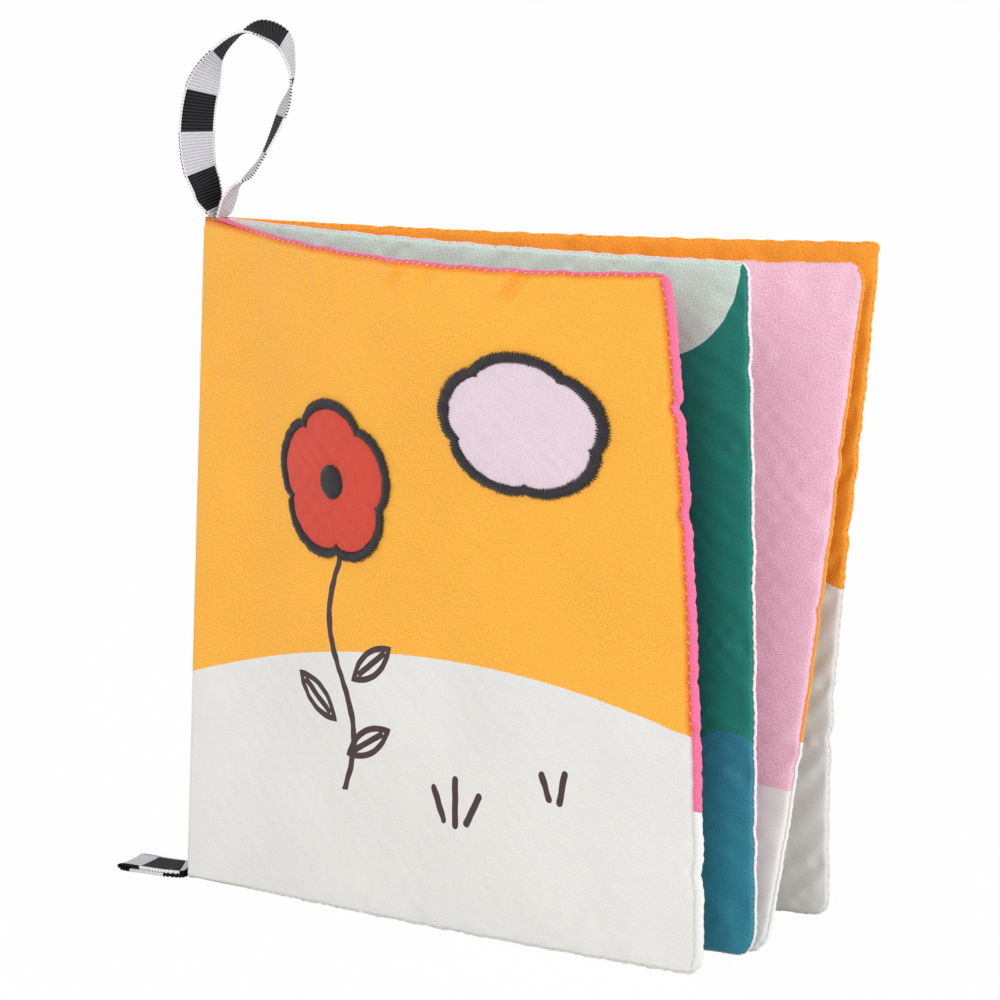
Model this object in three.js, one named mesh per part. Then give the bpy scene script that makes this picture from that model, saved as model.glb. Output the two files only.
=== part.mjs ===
// A baby's soft book, standing open on its bottom edges with its pages fanned.
// Four padded cloth leaves turn about one upright sewn spine. Each leaf is a front cloth
// and a back cloth, sewn round three sides over a padding, with its thread in the seam.
// Striped ribbon loops are sewn into the spine at the top and at the bottom.
// Units are millimetres. +Z is up, and the reader stands on the -Y side.

import * as THREE from 'three';

// Page
const pageReach = 175;         // from the spine seam to the fore edge
const pageHeight = 180;
const clothThickness = 0.35;
const crownHalf = 2.1;         // half of a leaf's thickness at its fullest
const edgeHalf = 0.95;         // half of its thickness along the sewn edges
const rootHalf = 0.5;          // half of its thickness where the spine seam pinches it
const crownReach = 22;         // how far in from a sewn edge the padding swells
const rootPinch = 45;          // how far out from the spine the pinch fades
const seamAllowance = 5;       // turned-in cloth beside each sewn edge
const seamRise = 2.5;          // from the allowance up onto the padding
const allowanceGapHalf = 0.15; // half of the gap between the two turned-in cloths
const grooveHalf = 0.45;       // half of the groove that the seam thread lies in
const paddingInset = seamAllowance + seamRise;
const paddingRootInset = 18;
const flatCut = 0.5;           // depth to which the bottom edge is pressed flat
const cornerRound = 4;
const clearance = 0.3;         // between touching pieces
const middleCells = 7;         // grid cells between the swelling edges

// Spine
const hingeRadius = 4;         // the leaves are sewn on round this radius
const rootSpacing = 19;        // degrees between one leaf and the next at the spine
const frontRootBearing = 58;   // degrees from +X towards the reader
const coreRadius = 2.8;
const wrapThickness = 0.45;
const wrapInner = coreRadius + clearance;
const wrapOuter = wrapInner + wrapThickness;
const fullTurn = 360;
const wrapStart = frontRootBearing + rootSpacing;
const wrapEnd = fullTurn + frontRootBearing - 4 * rootSpacing;
const wrapSteps = 20;
const gutterBearing = frontRootBearing - 1.5 * rootSpacing;
const coreSides = 20;
const coreBottom = 6;
const coreTopInset = 2;        // from the leaves' top down to the core
const wrapTopInset = 1.4;
const coreTop = pageHeight - coreTopInset;
const wrapTop = pageHeight - wrapTopInset;

// Threads
const threadWidth = 0.5;
const threadHalf = 0.12;
const threadInset = 0.3;
const gutterThread = 0.5;

// Ribbon loops
const ribbonWidth = 10;
const ribbonThickness = 0.6;
const sewnWidth = 4.6;         // the ribbon's ends are drawn together in the seam
const sewnGap = 1.3;           // from the middle of one sewn end to the other
const loopSeat = 0.6;          // room under the top loop's ends, in which it can lean
const loopRise = 50;           // height of the top loop over the spine
const loopRings = 38;
const tabRings = 26;
const tabLength = 22.5;
const tabBearing = 214;        // degrees from +X towards the reader, behind the spine
const tabTilt = 9;             // degrees that its far edge is lifted
const tabFoldGap = 0.3;
const tabNeckHeight = 3.5;           // height at which its lower layer turns up into the spine
const tabUpperLayer = 0.5;     // where its upper layer enters the spine, in layer steps
const floorGap = 0.25;

// The bottom loop's route from the spine to its fold and back: shares of its length, steps
// from the lower layer to the upper, shares of the ribbon's width, and of that width again
// for how far it lies towards the reader.
const tabShares = [
  [0.14, 0.1, 0.6, 0], [0.34, 0, 1, 0.15], [0.65, 0, 1, 0.19], [1, 0, 1, 0.19],
  [1.03, 0.5, 1, 0.19], [1, 1, 1, 0.19], [0.65, 1.1, 1, 0.19], [0.34, 1.1, 1, 0.15],
  [0.16, 1.3, 0.6, 0],
];

// The top loop's route, in shares of its rise from the top of the spine: its middle, the
// way its width points, and its share of the ribbon's width.
const loopShares = [
  [-0.03, 0.004, 0.04, 0.7, 0.7, 0.02, 0.64],
  [-0.056, 0.006, 0.1, 0.8, 0.6, 0.02, 0.9],
  [-0.076, 0.002, 0.17, 0.8, 0.6, 0.02, 1],
  [-0.113, -0.01, 0.275, 0.88, 0.46, 0.05, 1],
  [-0.13, -0.03, 0.475, 0.95, 0.3, 0.02, 1],
  [-0.104, -0.036, 0.69, 0.9, 0.42, 0.1, 1],
  [-0.03, -0.016, 0.872, 0.42, 0.9, 0, 1],
  [0.078, 0.02, 0.975, 0.14, 0.98, -0.08, 1],
  [0.22, 0.06, 1.005, -0.04, 0.86, 0.5, 1],
  [0.315, 0.088, 0.955, 0.3, 0.88, 0.36, 1],
  [0.355, 0.1, 0.85, 0.2, 0.97, 0.05, 1],
  [0.367, 0.096, 0.73, 0, 0.99, -0.12, 1],
  [0.325, 0.084, 0.575, -0.3, 0.94, -0.1, 1],
  [0.222, 0.064, 0.325, -0.14, 0.98, -0.1, 1],
  [0.15, 0.052, 0.22, -0.1, 0.98, 0.06, 1],
  [0.084, 0.03, 0.15, 0.2, 0.97, -0.1, 1],
  [0.052, 0.014, 0.09, 0.4, 0.9, 0, 0.9],
  [0.03, 0, 0.04, 0.5, 0.86, 0, 0.7],
];

// Sewn-on patches of the front cover
const patchThickness = 0.5;
const patchLift = 0.4;
const borderWidth = 2.6;
const borderThickness = 0.7;
const patchSpokes = 40;
const patchRingShares = [0.35, 0.7, 1];
const flower = {
  acrossShare: 0.32, upShare: 0.644, reach: 20, stretchShare: 1, lobes: 5, scallopShare: 0.16,
};
const flowerHeart = { reach: 4.6, spokes: 14 };
const cloud = {
  acrossShare: 0.72, upShare: 0.767, reach: 17, stretchShare: 1.42, lobes: 5, scallopShare: 0.1,
};

// Bearings of each leaf, in degrees from +X towards the reader, read off the photograph:
// at the spine and at the fore edge, along its bottom and its top, with a bend at mid height.
// drawn is how far the mid of the fore edge and of the top edge is pulled in by the sewing.
const leaves = [
  {
    name: 'front_cover', bottom: [46.5, 36.2], top: [65.6, 29.0], bend: -2.2,
    drawn: 3.3, bottomLift: 0, topLift: -0.8,
    front: { name: 'front_cover_outer_cloth', color: 0xf4ac42 },
    back: { name: 'front_cover_inner_cloth', color: 0xee6f9f },
  },
  {
    name: 'second_leaf', bottom: [38.8, 29.9], top: [36.8, 41.6], bend: -0.9,
    drawn: 1.4, bottomLift: 2.1, topLift: 2.0,
    front: { name: 'second_leaf_front_cloth', color: 0x1f7364 },
    back: { name: 'second_leaf_back_cloth', color: 0xf3dbe4 },
  },
  {
    name: 'third_leaf', bottom: [27.8, 38.7], top: [17.8, 14.0], bend: -2.0,
    drawn: 2.9, bottomLift: 2.1, topLift: -2.5,
    front: { name: 'third_leaf_front_cloth', color: 0xedb9d4 },
    back: { name: 'third_leaf_back_cloth', color: 0xf1a04c },
  },
  {
    name: 'back_cover', bottom: [-4, 24], top: [4.2, 15.2], bend: 3,
    drawn: 1.4, bottomLift: 0, topLift: 1.3,
    front: { name: 'back_cover_inner_cloth', color: 0xef9a2f },
    back: { name: 'back_cover_outer_cloth', color: 0xf4ac42 },
  },
];

const degrees = Math.PI / 180;
const book = new THREE.Group();

// Mesh helpers

function addPiece(name, geometry, color, roughness) {
  const material = new THREE.MeshStandardMaterial({ color, roughness, metalness: 0 });
  const mesh = new THREE.Mesh(geometry, material);
  mesh.name = name;
  book.add(mesh);
  return mesh;
}

function geometryFrom(points, faces) {
  const geometry = new THREE.BufferGeometry();
  const positions = points.flatMap((point) => [point.x, point.y, point.z]);
  geometry.setAttribute('position', new THREE.Float32BufferAttribute(positions, 3));
  geometry.setIndex(faces.flat());
  geometry.computeVertexNormals();
  return geometry;
}

// A closed body between two grids of points that share their layout: near is seen from
// the side where the rows run right and up, far lies behind it.
function slabBetween(near, far) {
  const rows = near.length;
  const columns = near[0].length;
  const points = [...near.flat(), ...far.flat()];
  const behind = rows * columns;
  const at = (row, column) => row * columns + column;
  const faces = [];
  for (let row = 0; row < rows - 1; row += 1) {
    for (let column = 0; column < columns - 1; column += 1) {
      const a = at(row, column);
      const b = at(row, column + 1);
      const c = at(row + 1, column + 1);
      const d = at(row + 1, column);
      faces.push([a, b, c], [a, c, d]);
      faces.push([behind + a, behind + c, behind + b], [behind + a, behind + d, behind + c]);
    }
  }
  const rim = [];
  for (let column = 0; column < columns - 1; column += 1) rim.push(at(0, column));
  for (let row = 0; row < rows - 1; row += 1) rim.push(at(row, columns - 1));
  for (let column = columns - 1; column > 0; column -= 1) rim.push(at(rows - 1, column));
  for (let row = rows - 1; row > 0; row -= 1) rim.push(at(row, 0));
  rim.forEach((a, index) => {
    const b = rim[(index + 1) % rim.length];
    faces.push([a, behind + a, behind + b], [a, behind + b, b]);
  });
  return geometryFrom(points, faces);
}

// A closed body along rings of four corners each; closed joins the last ring to the first.
function barThrough(rings, closed) {
  const points = rings.flat();
  const faces = [];
  const steps = closed ? rings.length : rings.length - 1;
  for (let ring = 0; ring < steps; ring += 1) {
    const here = ring * 4;
    const next = ((ring + 1) % rings.length) * 4;
    for (let corner = 0; corner < 4; corner += 1) {
      const other = (corner + 1) % 4;
      faces.push([here + corner, here + other, next + other]);
      faces.push([here + corner, next + other, next + corner]);
    }
  }
  if (!closed) {
    const last = (rings.length - 1) * 4;
    faces.push([0, 2, 1], [0, 3, 2]);
    faces.push([last, last + 1, last + 2], [last, last + 2, last + 3]);
  }
  return geometryFrom(points, faces);
}

// Leaf surfaces

function mix(from, to, share) {
  return from + (to - from) * share;
}

function hump(share) {
  return 4 * share * (1 - share);
}

function leafRootBearing(leaf) {
  return frontRootBearing - rootSpacing * leaves.indexOf(leaf);
}

// A place on a leaf: across and up in mm from its lower spine corner, out along its front face.
function leafPoint(leaf, across, up, out) {
  const acrossShare = across / pageReach;
  const upShare = up / pageHeight;
  const bend = leaf.bend * hump(upShare);
  const rootBearing = mix(leaf.bottom[0], leaf.top[0], upShare) + bend;
  const foreBearing = mix(leaf.bottom[1], leaf.top[1], upShare) + bend;
  const halfTurn = (foreBearing - rootBearing) * acrossShare * degrees / 2;
  const chordShare = halfTurn === 0 ? 1 : Math.sin(halfTurn) / halfTurn;
  const reach = (pageReach - leaf.drawn * hump(upShare)) * acrossShare * chordShare;
  const chordBearing = rootBearing * degrees + halfTurn;
  const bearing = chordBearing + halfTurn;
  const seam = leafRootBearing(leaf) * degrees;
  const sag = leaf.drawn * hump(acrossShare) * Math.max(0, 2 * upShare - 1);
  const lift = mix(leaf.bottomLift, leaf.topLift, upShare);
  return new THREE.Vector3(
    hingeRadius * Math.cos(seam) + reach * Math.cos(chordBearing) - out * Math.sin(bearing),
    -hingeRadius * Math.sin(seam) - reach * Math.sin(chordBearing) - out * Math.cos(bearing),
    up + lift * acrossShare - sag,
  );
}

function swell(distance) {
  return Math.sqrt(1 - (1 - Math.min(distance / crownReach, 1)) ** 2);
}

function leafHalf(across, up) {
  const free = mix(edgeHalf, crownHalf,
    swell(pageReach - across) * swell(up + flatCut) * swell(pageHeight - up));
  return mix(rootHalf, free, THREE.MathUtils.smoothstep(across, 0, rootPinch));
}

// Half of the hollow between a leaf's two cloths.
function hollowHalf(across, up) {
  const edge = Math.min(pageReach - across, up, pageHeight - up);
  const inside = leafHalf(across, up) - clothThickness;
  if (edge <= 0) return Math.min(grooveHalf, inside);
  if (edge <= seamAllowance) return Math.min(allowanceGapHalf, inside);
  return inside;
}

// Grid lines that crowd towards the sewn edges, where the crown bends most.
function linesBetween(first, last, cells) {
  return Array.from({ length: cells + 1 }, (_, index) => mix(first, last, index / cells));
}

const acrossLines = [
  0, paddingRootInset / 3, paddingRootInset,
  ...linesBetween(paddingRootInset * 2, pageReach - crownReach, middleCells - 1),
  pageReach - paddingInset, pageReach - seamAllowance, pageReach,
];
const upLines = [
  0, seamAllowance, paddingInset,
  ...linesBetween(crownReach, pageHeight - crownReach, middleCells - 1),
  pageHeight - paddingInset, pageHeight - seamAllowance, pageHeight,
];

function leafGrid(leaf, across, up, half) {
  return up.map((height) => across.map((reach) => {
    const atFore = reach === pageReach;
    const atEnd = height === 0 || height === pageHeight;
    const ease = atFore && atEnd ? cornerRound * (1 - Math.SQRT1_2) : 0;
    const easedHeight = height === 0 ? height : height - ease;
    return leafPoint(leaf, reach - ease, easedHeight, half(reach, height));
  }));
}

function addCloths(leaf) {
  const outer = (side) => leafGrid(leaf, acrossLines, upLines, (a, u) => side * leafHalf(a, u));
  const inner = (side) => leafGrid(leaf, acrossLines, upLines, (a, u) => side * hollowHalf(a, u));
  addPiece(leaf.front.name, slabBetween(outer(1), inner(1)), leaf.front.color, 0.85);
  addPiece(leaf.back.name, slabBetween(inner(-1), outer(-1)), leaf.back.color, 0.85);
}

function addPadding(leaf) {
  const across = acrossLines.filter((a) => a >= paddingRootInset && a <= pageReach - paddingInset);
  const up = upLines.filter((u) => u >= paddingInset && u <= pageHeight - paddingInset);
  const half = (a, u) => leafHalf(a, u) - clothThickness - clearance;
  const near = leafGrid(leaf, across, up, half);
  const far = leafGrid(leaf, across, up, (a, u) => -half(a, u));
  addPiece(`${leaf.name}_padding`, slabBetween(near, far), 0xf4f2ec, 1);
}

// The seam's thread runs along the bottom, up the fore edge and back along the top.
function addSeamThread(leaf) {
  const low = threadInset;
  const high = pageHeight - threadInset;
  const fore = pageReach - threadInset;
  const corner = cornerRound * (1 - Math.SQRT1_2);
  const sewnAcross = acrossLines.filter((a) => a >= paddingRootInset && a <= pageReach - seamAllowance);
  const sewnUp = upLines.filter((u) => u >= seamAllowance && u <= pageHeight - seamAllowance);
  const route = [
    ...sewnAcross.map((a) => ({ across: a, up: low, inAcross: 0, inUp: 1 })),
    { across: fore - corner, up: low + corner, inAcross: -1, inUp: 1 },
    ...sewnUp.map((u) => ({ across: fore, up: u, inAcross: -1, inUp: 0 })),
    { across: fore - corner, up: high - corner, inAcross: -1, inUp: -1 },
    ...sewnAcross.reverse().map((a) => ({ across: a, up: high, inAcross: 0, inUp: -1 })),
  ];
  const rings = route.map((spot) => {
    const across = spot.across + spot.inAcross * threadWidth;
    const up = spot.up + spot.inUp * threadWidth;
    return [
      leafPoint(leaf, spot.across, spot.up, threadHalf),
      leafPoint(leaf, spot.across, spot.up, -threadHalf),
      leafPoint(leaf, across, up, -threadHalf),
      leafPoint(leaf, across, up, threadHalf),
    ];
  });
  addPiece(`${leaf.name}_seam_thread`, barThrough(rings, false), leaf.back.color, 0.7);
}

// Spine

function wayTo(bearing) {
  return new THREE.Vector3(Math.cos(bearing * degrees), -Math.sin(bearing * degrees), 0);
}

function bearingPoint(radius, bearing, height) {
  return wayTo(bearing).multiplyScalar(radius).setZ(height);
}

function addSpineCore() {
  const length = coreTop - coreBottom;
  const core = new THREE.CylinderGeometry(coreRadius, coreRadius, length, coreSides);
  core.rotateX(90 * degrees);
  core.translate(0, 0, (coreTop + coreBottom) / 2);
  addPiece('spine_core', core, 0xe9d9c4, 1);
}

function addSpineWrap() {
  const rings = linesBetween(wrapStart, wrapEnd, wrapSteps).map((bearing) => [
    bearingPoint(wrapInner, bearing, coreBottom),
    bearingPoint(wrapOuter, bearing, coreBottom),
    bearingPoint(wrapOuter, bearing, wrapTop),
    bearingPoint(wrapInner, bearing, wrapTop),
  ]);
  addPiece('spine_outer_cloth', barThrough(rings, false), 0xf4ac42, 0.85);
}

// The line of stitching in the gutter, between the second and the third leaf.
function addGutterThread() {
  const halfTurn = gutterThread / 2 / wrapInner / degrees;
  const rings = [coreBottom, coreTop].map((height) => [
    bearingPoint(wrapInner, gutterBearing + halfTurn, height),
    bearingPoint(wrapInner + gutterThread, gutterBearing + halfTurn, height),
    bearingPoint(wrapInner + gutterThread, gutterBearing - halfTurn, height),
    bearingPoint(wrapInner, gutterBearing - halfTurn, height),
  ]);
  addPiece('spine_stitching', barThrough(rings, false), 0xf5f0ea, 0.7);
}

// Ribbon loops

// A flat band through stations; each has a centre, the way its width points, and its width.
function bandThrough(stations, ringCount) {
  const route = new THREE.CatmullRomCurve3(stations.map((s) => s.centre), false, 'centripetal');
  const widthTips = new THREE.CatmullRomCurve3(stations.map((s) => s.across), false, 'centripetal');
  const last = stations.length - 1;
  const rings = [];
  for (let index = 0; index <= ringCount; index += 1) {
    const share = index / ringCount;
    const place = share * last;
    const from = Math.min(Math.floor(place), last - 1);
    const width = mix(stations[from].width, stations[from + 1].width, place - from);
    const centre = route.getPoint(share);
    const along = route.getTangent(share).normalize();
    const across = widthTips.getPoint(share);
    across.addScaledVector(along, -across.dot(along)).normalize().multiplyScalar(width / 2);
    const out = new THREE.Vector3().crossVectors(along, across).setLength(ribbonThickness / 2);
    const corner = (sideways, outwards) => centre.clone()
      .addScaledVector(across, sideways).addScaledVector(out, outwards);
    rings.push([corner(-1, -1), corner(1, -1), corner(1, 1), corner(-1, 1)]);
  }
  return barThrough(rings, false);
}

// The top loop leaves the spine as two stacked ends, rises with its flat side to the reader,
// turns over and comes down edge-on. Its points are read off the photograph.
function addTopLoop() {
  const sewnEnd = (side, height) => ({
    centre: bearingPoint(side * sewnGap / 2, gutterBearing, height),
    across: wayTo(gutterBearing - 90),
    width: sewnWidth,
  });
  const route = loopShares.map(([x, y, z, acrossX, acrossY, acrossZ, widthShare]) => ({
    centre: new THREE.Vector3(x * loopRise, y * loopRise, pageHeight + z * loopRise),
    across: new THREE.Vector3(acrossX, acrossY, acrossZ),
    width: widthShare * ribbonWidth,
  }));
  const stations = [
    sewnEnd(-1, coreTop + loopSeat), sewnEnd(-1, pageHeight),
    ...route,
    sewnEnd(1, pageHeight), sewnEnd(1, coreTop + loopSeat),
  ];
  addPiece('top_ribbon_loop', bandThrough(stations, loopRings), 0x8d8d92, 0.9);
}

// The bottom loop is pressed flat: it leaves the spine downwards, lies back on the ground
// behind it, folds over and returns.
function addBottomLoop() {
  const away = wayTo(tabBearing);
  const tilt = tabTilt * degrees;
  const level = new THREE.Vector3(away.y, -away.x, 0);
  const tilted = level.clone().multiplyScalar(Math.cos(tilt)).setZ(Math.sin(tilt));
  const lying = ribbonWidth / 2 * Math.sin(tilt) + ribbonThickness / 2 + floorGap;
  const layerStep = ribbonThickness + tabFoldGap;
  const place = (reach, aside, height) => away.clone().multiplyScalar(reach)
    .addScaledVector(level, aside).setZ(height);
  const sewnEnd = (layer, height) => ({
    centre: place(layer * layerStep, 0, height),
    across: level,
    width: sewnWidth,
  });
  const stations = [
    sewnEnd(-1, coreBottom - clearance), sewnEnd(-1, tabNeckHeight),
    ...tabShares.map(([reach, layer, width, aside]) => ({
      centre: place(reach * tabLength, -aside * ribbonWidth, lying + layer * layerStep),
      across: tilted,
      width: width * ribbonWidth,
    })),
    sewnEnd(tabUpperLayer, tabNeckHeight + layerStep), sewnEnd(tabUpperLayer, coreBottom - clearance),
  ];
  addPiece('bottom_ribbon_loop', bandThrough(stations, tabRings), 0x8d8d92, 0.9);
}

// Sewn-on patches

// A scalloped outline round a middle: lobes bulge out and meet in notches.
function scalloped(shape, spoke, scale) {
  const angle = spoke / patchSpokes * 2 * Math.PI;
  const bulge = Math.sqrt(Math.abs(Math.cos(angle * shape.lobes / 2)));
  const reach = scale * (1 - shape.scallopShare * (1 - bulge));
  return { across: reach * Math.sin(angle) * shape.stretchShare, up: reach * Math.cos(angle) };
}

function coverPoint(shape, spot, lift) {
  const across = shape.acrossShare * pageReach + spot.across;
  const up = shape.upShare * pageHeight + spot.up;
  return leafPoint(leaves[0], across, up, leafHalf(across, up) + lift);
}

// A patch is a fan of rings from its middle out, as a closed sheet.
function patchGeometry(shape, outline, spokes, ringShares, lift, thickness) {
  const layer = (height) => [
    coverPoint(shape, { across: 0, up: 0 }, height),
    ...ringShares.flatMap((share) => Array.from({ length: spokes }, (_, spoke) => {
      const spot = outline(spoke);
      return coverPoint(shape, { across: spot.across * share, up: spot.up * share }, height);
    })),
  ];
  const points = [...layer(lift + thickness), ...layer(lift)];
  const under = 1 + spokes * ringShares.length;
  const at = (ring, spoke) => 1 + ring * spokes + spoke % spokes;
  const faces = [];
  const both = (a, b, c) => faces.push([a, c, b], [under + a, under + b, under + c]);
  for (let spoke = 0; spoke < spokes; spoke += 1) {
    both(0, at(0, spoke), at(0, spoke + 1));
    for (let ring = 0; ring < ringShares.length - 1; ring += 1) {
      both(at(ring, spoke), at(ring + 1, spoke), at(ring + 1, spoke + 1));
      both(at(ring, spoke), at(ring + 1, spoke + 1), at(ring, spoke + 1));
    }
    const rim = at(ringShares.length - 1, spoke);
    const nextRim = at(ringShares.length - 1, spoke + 1);
    faces.push([rim, nextRim, under + nextRim], [rim, under + nextRim, under + rim]);
  }
  return geometryFrom(points, faces);
}

// The stitched border is a closed band round the patch's outline.
function borderGeometry(shape) {
  const rings = Array.from({ length: patchSpokes }, (_, spoke) => {
    const inner = scalloped(shape, spoke, shape.reach + clearance);
    const outer = scalloped(shape, spoke, shape.reach + clearance + borderWidth);
    return [
      coverPoint(shape, inner, patchLift),
      coverPoint(shape, outer, patchLift),
      coverPoint(shape, outer, patchLift + borderThickness),
      coverPoint(shape, inner, patchLift + borderThickness),
    ];
  });
  return barThrough(rings, true);
}

function addPatch(name, shape, color) {
  const outline = (spoke) => scalloped(shape, spoke, shape.reach);
  const patch = patchGeometry(shape, outline, patchSpokes, patchRingShares, patchLift, patchThickness);
  addPiece(`${name}_patch`, patch, color, 0.85);
  addPiece(`${name}_stitched_border`, borderGeometry(shape), 0x2b2b30, 0.6);
}

function addFlowerHeart() {
  const spokes = flowerHeart.spokes;
  const outline = (spoke) => ({
    across: flowerHeart.reach * Math.sin(spoke / spokes * 2 * Math.PI),
    up: flowerHeart.reach * Math.cos(spoke / spokes * 2 * Math.PI),
  });
  const lift = patchLift + patchThickness + clearance;
  const heart = patchGeometry(flower, outline, spokes, [1], lift, borderThickness);
  addPiece('flower_heart_stitching', heart, 0x2b2b30, 0.6);
}

leaves.forEach((leaf) => {
  addCloths(leaf);
  addPadding(leaf);
  addSeamThread(leaf);
});
addSpineCore();
addSpineWrap();
addGutterThread();
addTopLoop();
addBottomLoop();
addPatch('flower', flower, 0xd9432f);
addPatch('cloud', cloud, 0xefdbe6);
addFlowerHeart();

// The origin is the middle of the book's footprint, on the ground.
const bounds = new THREE.Box3().setFromObject(book);
const middle = bounds.getCenter(new THREE.Vector3());
book.children.forEach((piece) => piece.geometry.translate(-middle.x, -middle.y, -bounds.min.z));

export default book;
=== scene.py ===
# A baby's soft book, standing open on its bottom edges with its pages fanned.
# Lengths are millimetres until a mesh is made. Bearings are degrees from +X towards the
# reader. A place on a page is across from the spine and up from its lower corner, and out
# is towards the reader's side of the leaf. Points are measured from the spine's axis.

import math

import bpy
import numpy as np
from mathutils import Matrix, Vector


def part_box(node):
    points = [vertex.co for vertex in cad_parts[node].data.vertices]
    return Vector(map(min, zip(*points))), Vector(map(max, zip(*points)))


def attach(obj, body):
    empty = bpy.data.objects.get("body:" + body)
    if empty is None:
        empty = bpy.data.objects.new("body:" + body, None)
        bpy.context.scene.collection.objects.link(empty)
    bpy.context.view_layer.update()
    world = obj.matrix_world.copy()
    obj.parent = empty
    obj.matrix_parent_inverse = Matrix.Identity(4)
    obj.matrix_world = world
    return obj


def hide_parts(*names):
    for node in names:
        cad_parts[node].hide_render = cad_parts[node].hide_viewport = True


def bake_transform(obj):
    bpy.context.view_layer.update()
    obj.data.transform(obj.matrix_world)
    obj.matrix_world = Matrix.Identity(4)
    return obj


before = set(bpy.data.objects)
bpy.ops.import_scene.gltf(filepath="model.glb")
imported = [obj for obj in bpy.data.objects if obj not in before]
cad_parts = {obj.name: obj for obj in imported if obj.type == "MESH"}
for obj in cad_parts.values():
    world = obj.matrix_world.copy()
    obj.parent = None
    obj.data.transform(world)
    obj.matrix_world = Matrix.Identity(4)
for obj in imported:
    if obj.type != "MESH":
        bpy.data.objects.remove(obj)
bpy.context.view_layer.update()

millimetre = 0.001

# Pages
page_reach = 175
page_height = 180
crown_half = 1.9          # half of a leaf's thickness at its fullest
edge_half = 0.88
root_half = 0.5
crown_reach = 22          # how far in from a sewn edge the wadding swells
root_pinch = 45
mesh_step = 0.9
root_overlap = 0.8        # how far a leaf reaches into the spine

# Spine
hinge_radius = 4
root_spacing = 19
front_root_bearing = 58
fold_radius = 4.3         # of the covers' cloth where it turns round the spine
fold_reach = 26           # how far out on the cover that fullness fades
fold_turn = 20            # degrees that a cover's cloth goes on round the spine
fold_tuck = 0.3           # how far its end is tucked under the spine's cloth
wrap_radius = 3.95
gutter_radius = 3.75
spine_foot = 2.6          # height of the spine cloth's lower edge
spine_head = 178.9
spine_rows = 60
spine_turn_step = 6       # degrees
least_turns = 4
hem_height = 2.2
hem_radius_share = 0.55
hem_shares = (0, 0.06, 0.2, 0.45, 0.75)
core_bottom = 6
core_top = 178
core_radius = 2.8
core_folds = 11
core_fold_share = 0.14    # of the radius, between two folds
core_twist = 30           # height in which the folds turn by one radian
core_end_share = 0.9
core_rows = 50
core_spokes = 44

# Sewn edge of a leaf: how far in its roundness reaches, the seam's groove beside its rim,
# and the lattice lines that follow them
edge_round = 1.4
groove_depth_share = 0.55
groove_half = 0.28
edge_lines = (0.12, 0.35, 0.7, 1.1, 1.6, 2.3, 3.2, 4.4)
groove_lines = (-0.3, -0.14, 0, 0.14, 0.34)
groove_room = 0.42

# Seam stitches
stitch_pitch = 2.6
stitch_length = 1.05
stitch_radius = 0.15
stitch_dip = 0.18         # how deep its ends sink into the cloth
stitch_start = 7          # from the spine
stitch_slant = 0.6        # how far one end lies nearer to the edge
stitch_swing = 0.25       # how far a stitch may lie off its place
stitch_length_shares = (0.8, 1.15)
stitch_seed = 11
route_step = 0.5
thread_sides = 5

# How threads lie from end to end, in shares of their length, their height and their radius
stitch_shares = ((0, -1, 0.55), (0.2, 0.4, 1), (0.8, 0.4, 1), (1, -1, 0.55))
border_shares = ((0, 0.05, 0.6), (0.16, 0.66, 1), (0.5, 1, 1.1), (0.84, 0.66, 1), (1, 0.02, 0.5))
heart_shares = ((0, 0, 0.6), (0.12, 0.7, 1), (0.5, 1, 1.1), (0.88, 0.7, 1), (1, 0, 0.6))

# Ribbons
ribbon_width = 10
ribbon_half = 0.3         # half of its thickness
selvedge_share = 0.9      # of the half width, where the selvedge starts
body_thick_share = 0.9
edge_thick_share = 0.45   # of the selvedge's thickness, at its very edge
thin_share = 0.5          # of the selvedge's thickness, between two beads
column_shares = (-1, -0.97, -0.92, -0.6, -0.2, 0.2, 0.6, 0.92, 0.97, 1)
route_count = 400         # of the rough steps that measure a ribbon's route
sewn_width = 4.6
sewn_gap = 1.3
loop_rise = 50
loop_seat = 0.6           # how far above the core's top its ends are sewn
stripe_pitch = 10.7
rib_pitch = 0.85
rib_depth = 0.09
bead_pitch = 0.85
warp_pitch = 0.5
# Ribbons: where their stripes start, how thick the selvedge is to the ribbon, how far its
# beads stand out, the share of a turn by which the dark beads follow the outer face's light
# stripes, how far out they start, and above what height of their wave
top_ribbon = {
    "stripe_start": 6.8, "thick": 1.3, "bulge": 0.2, "beads_later": 0.5, "dark_from": 0.965,
    "dark_above": 0.3,
}
bottom_ribbon = {
    "stripe_start": 8.5, "thick": 1.75, "bulge": 0.42, "beads_later": 0, "dark_from": 0.9,
    "dark_above": -1,
}
ring_step = 0.21
tab_length = 22.5
tab_bearing = 214
tab_tilt = 9
tab_layer_step = 0.9
tab_neck_height = 3.5
tab_upper_layer = 0.5
floor_gap = 0.25

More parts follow.
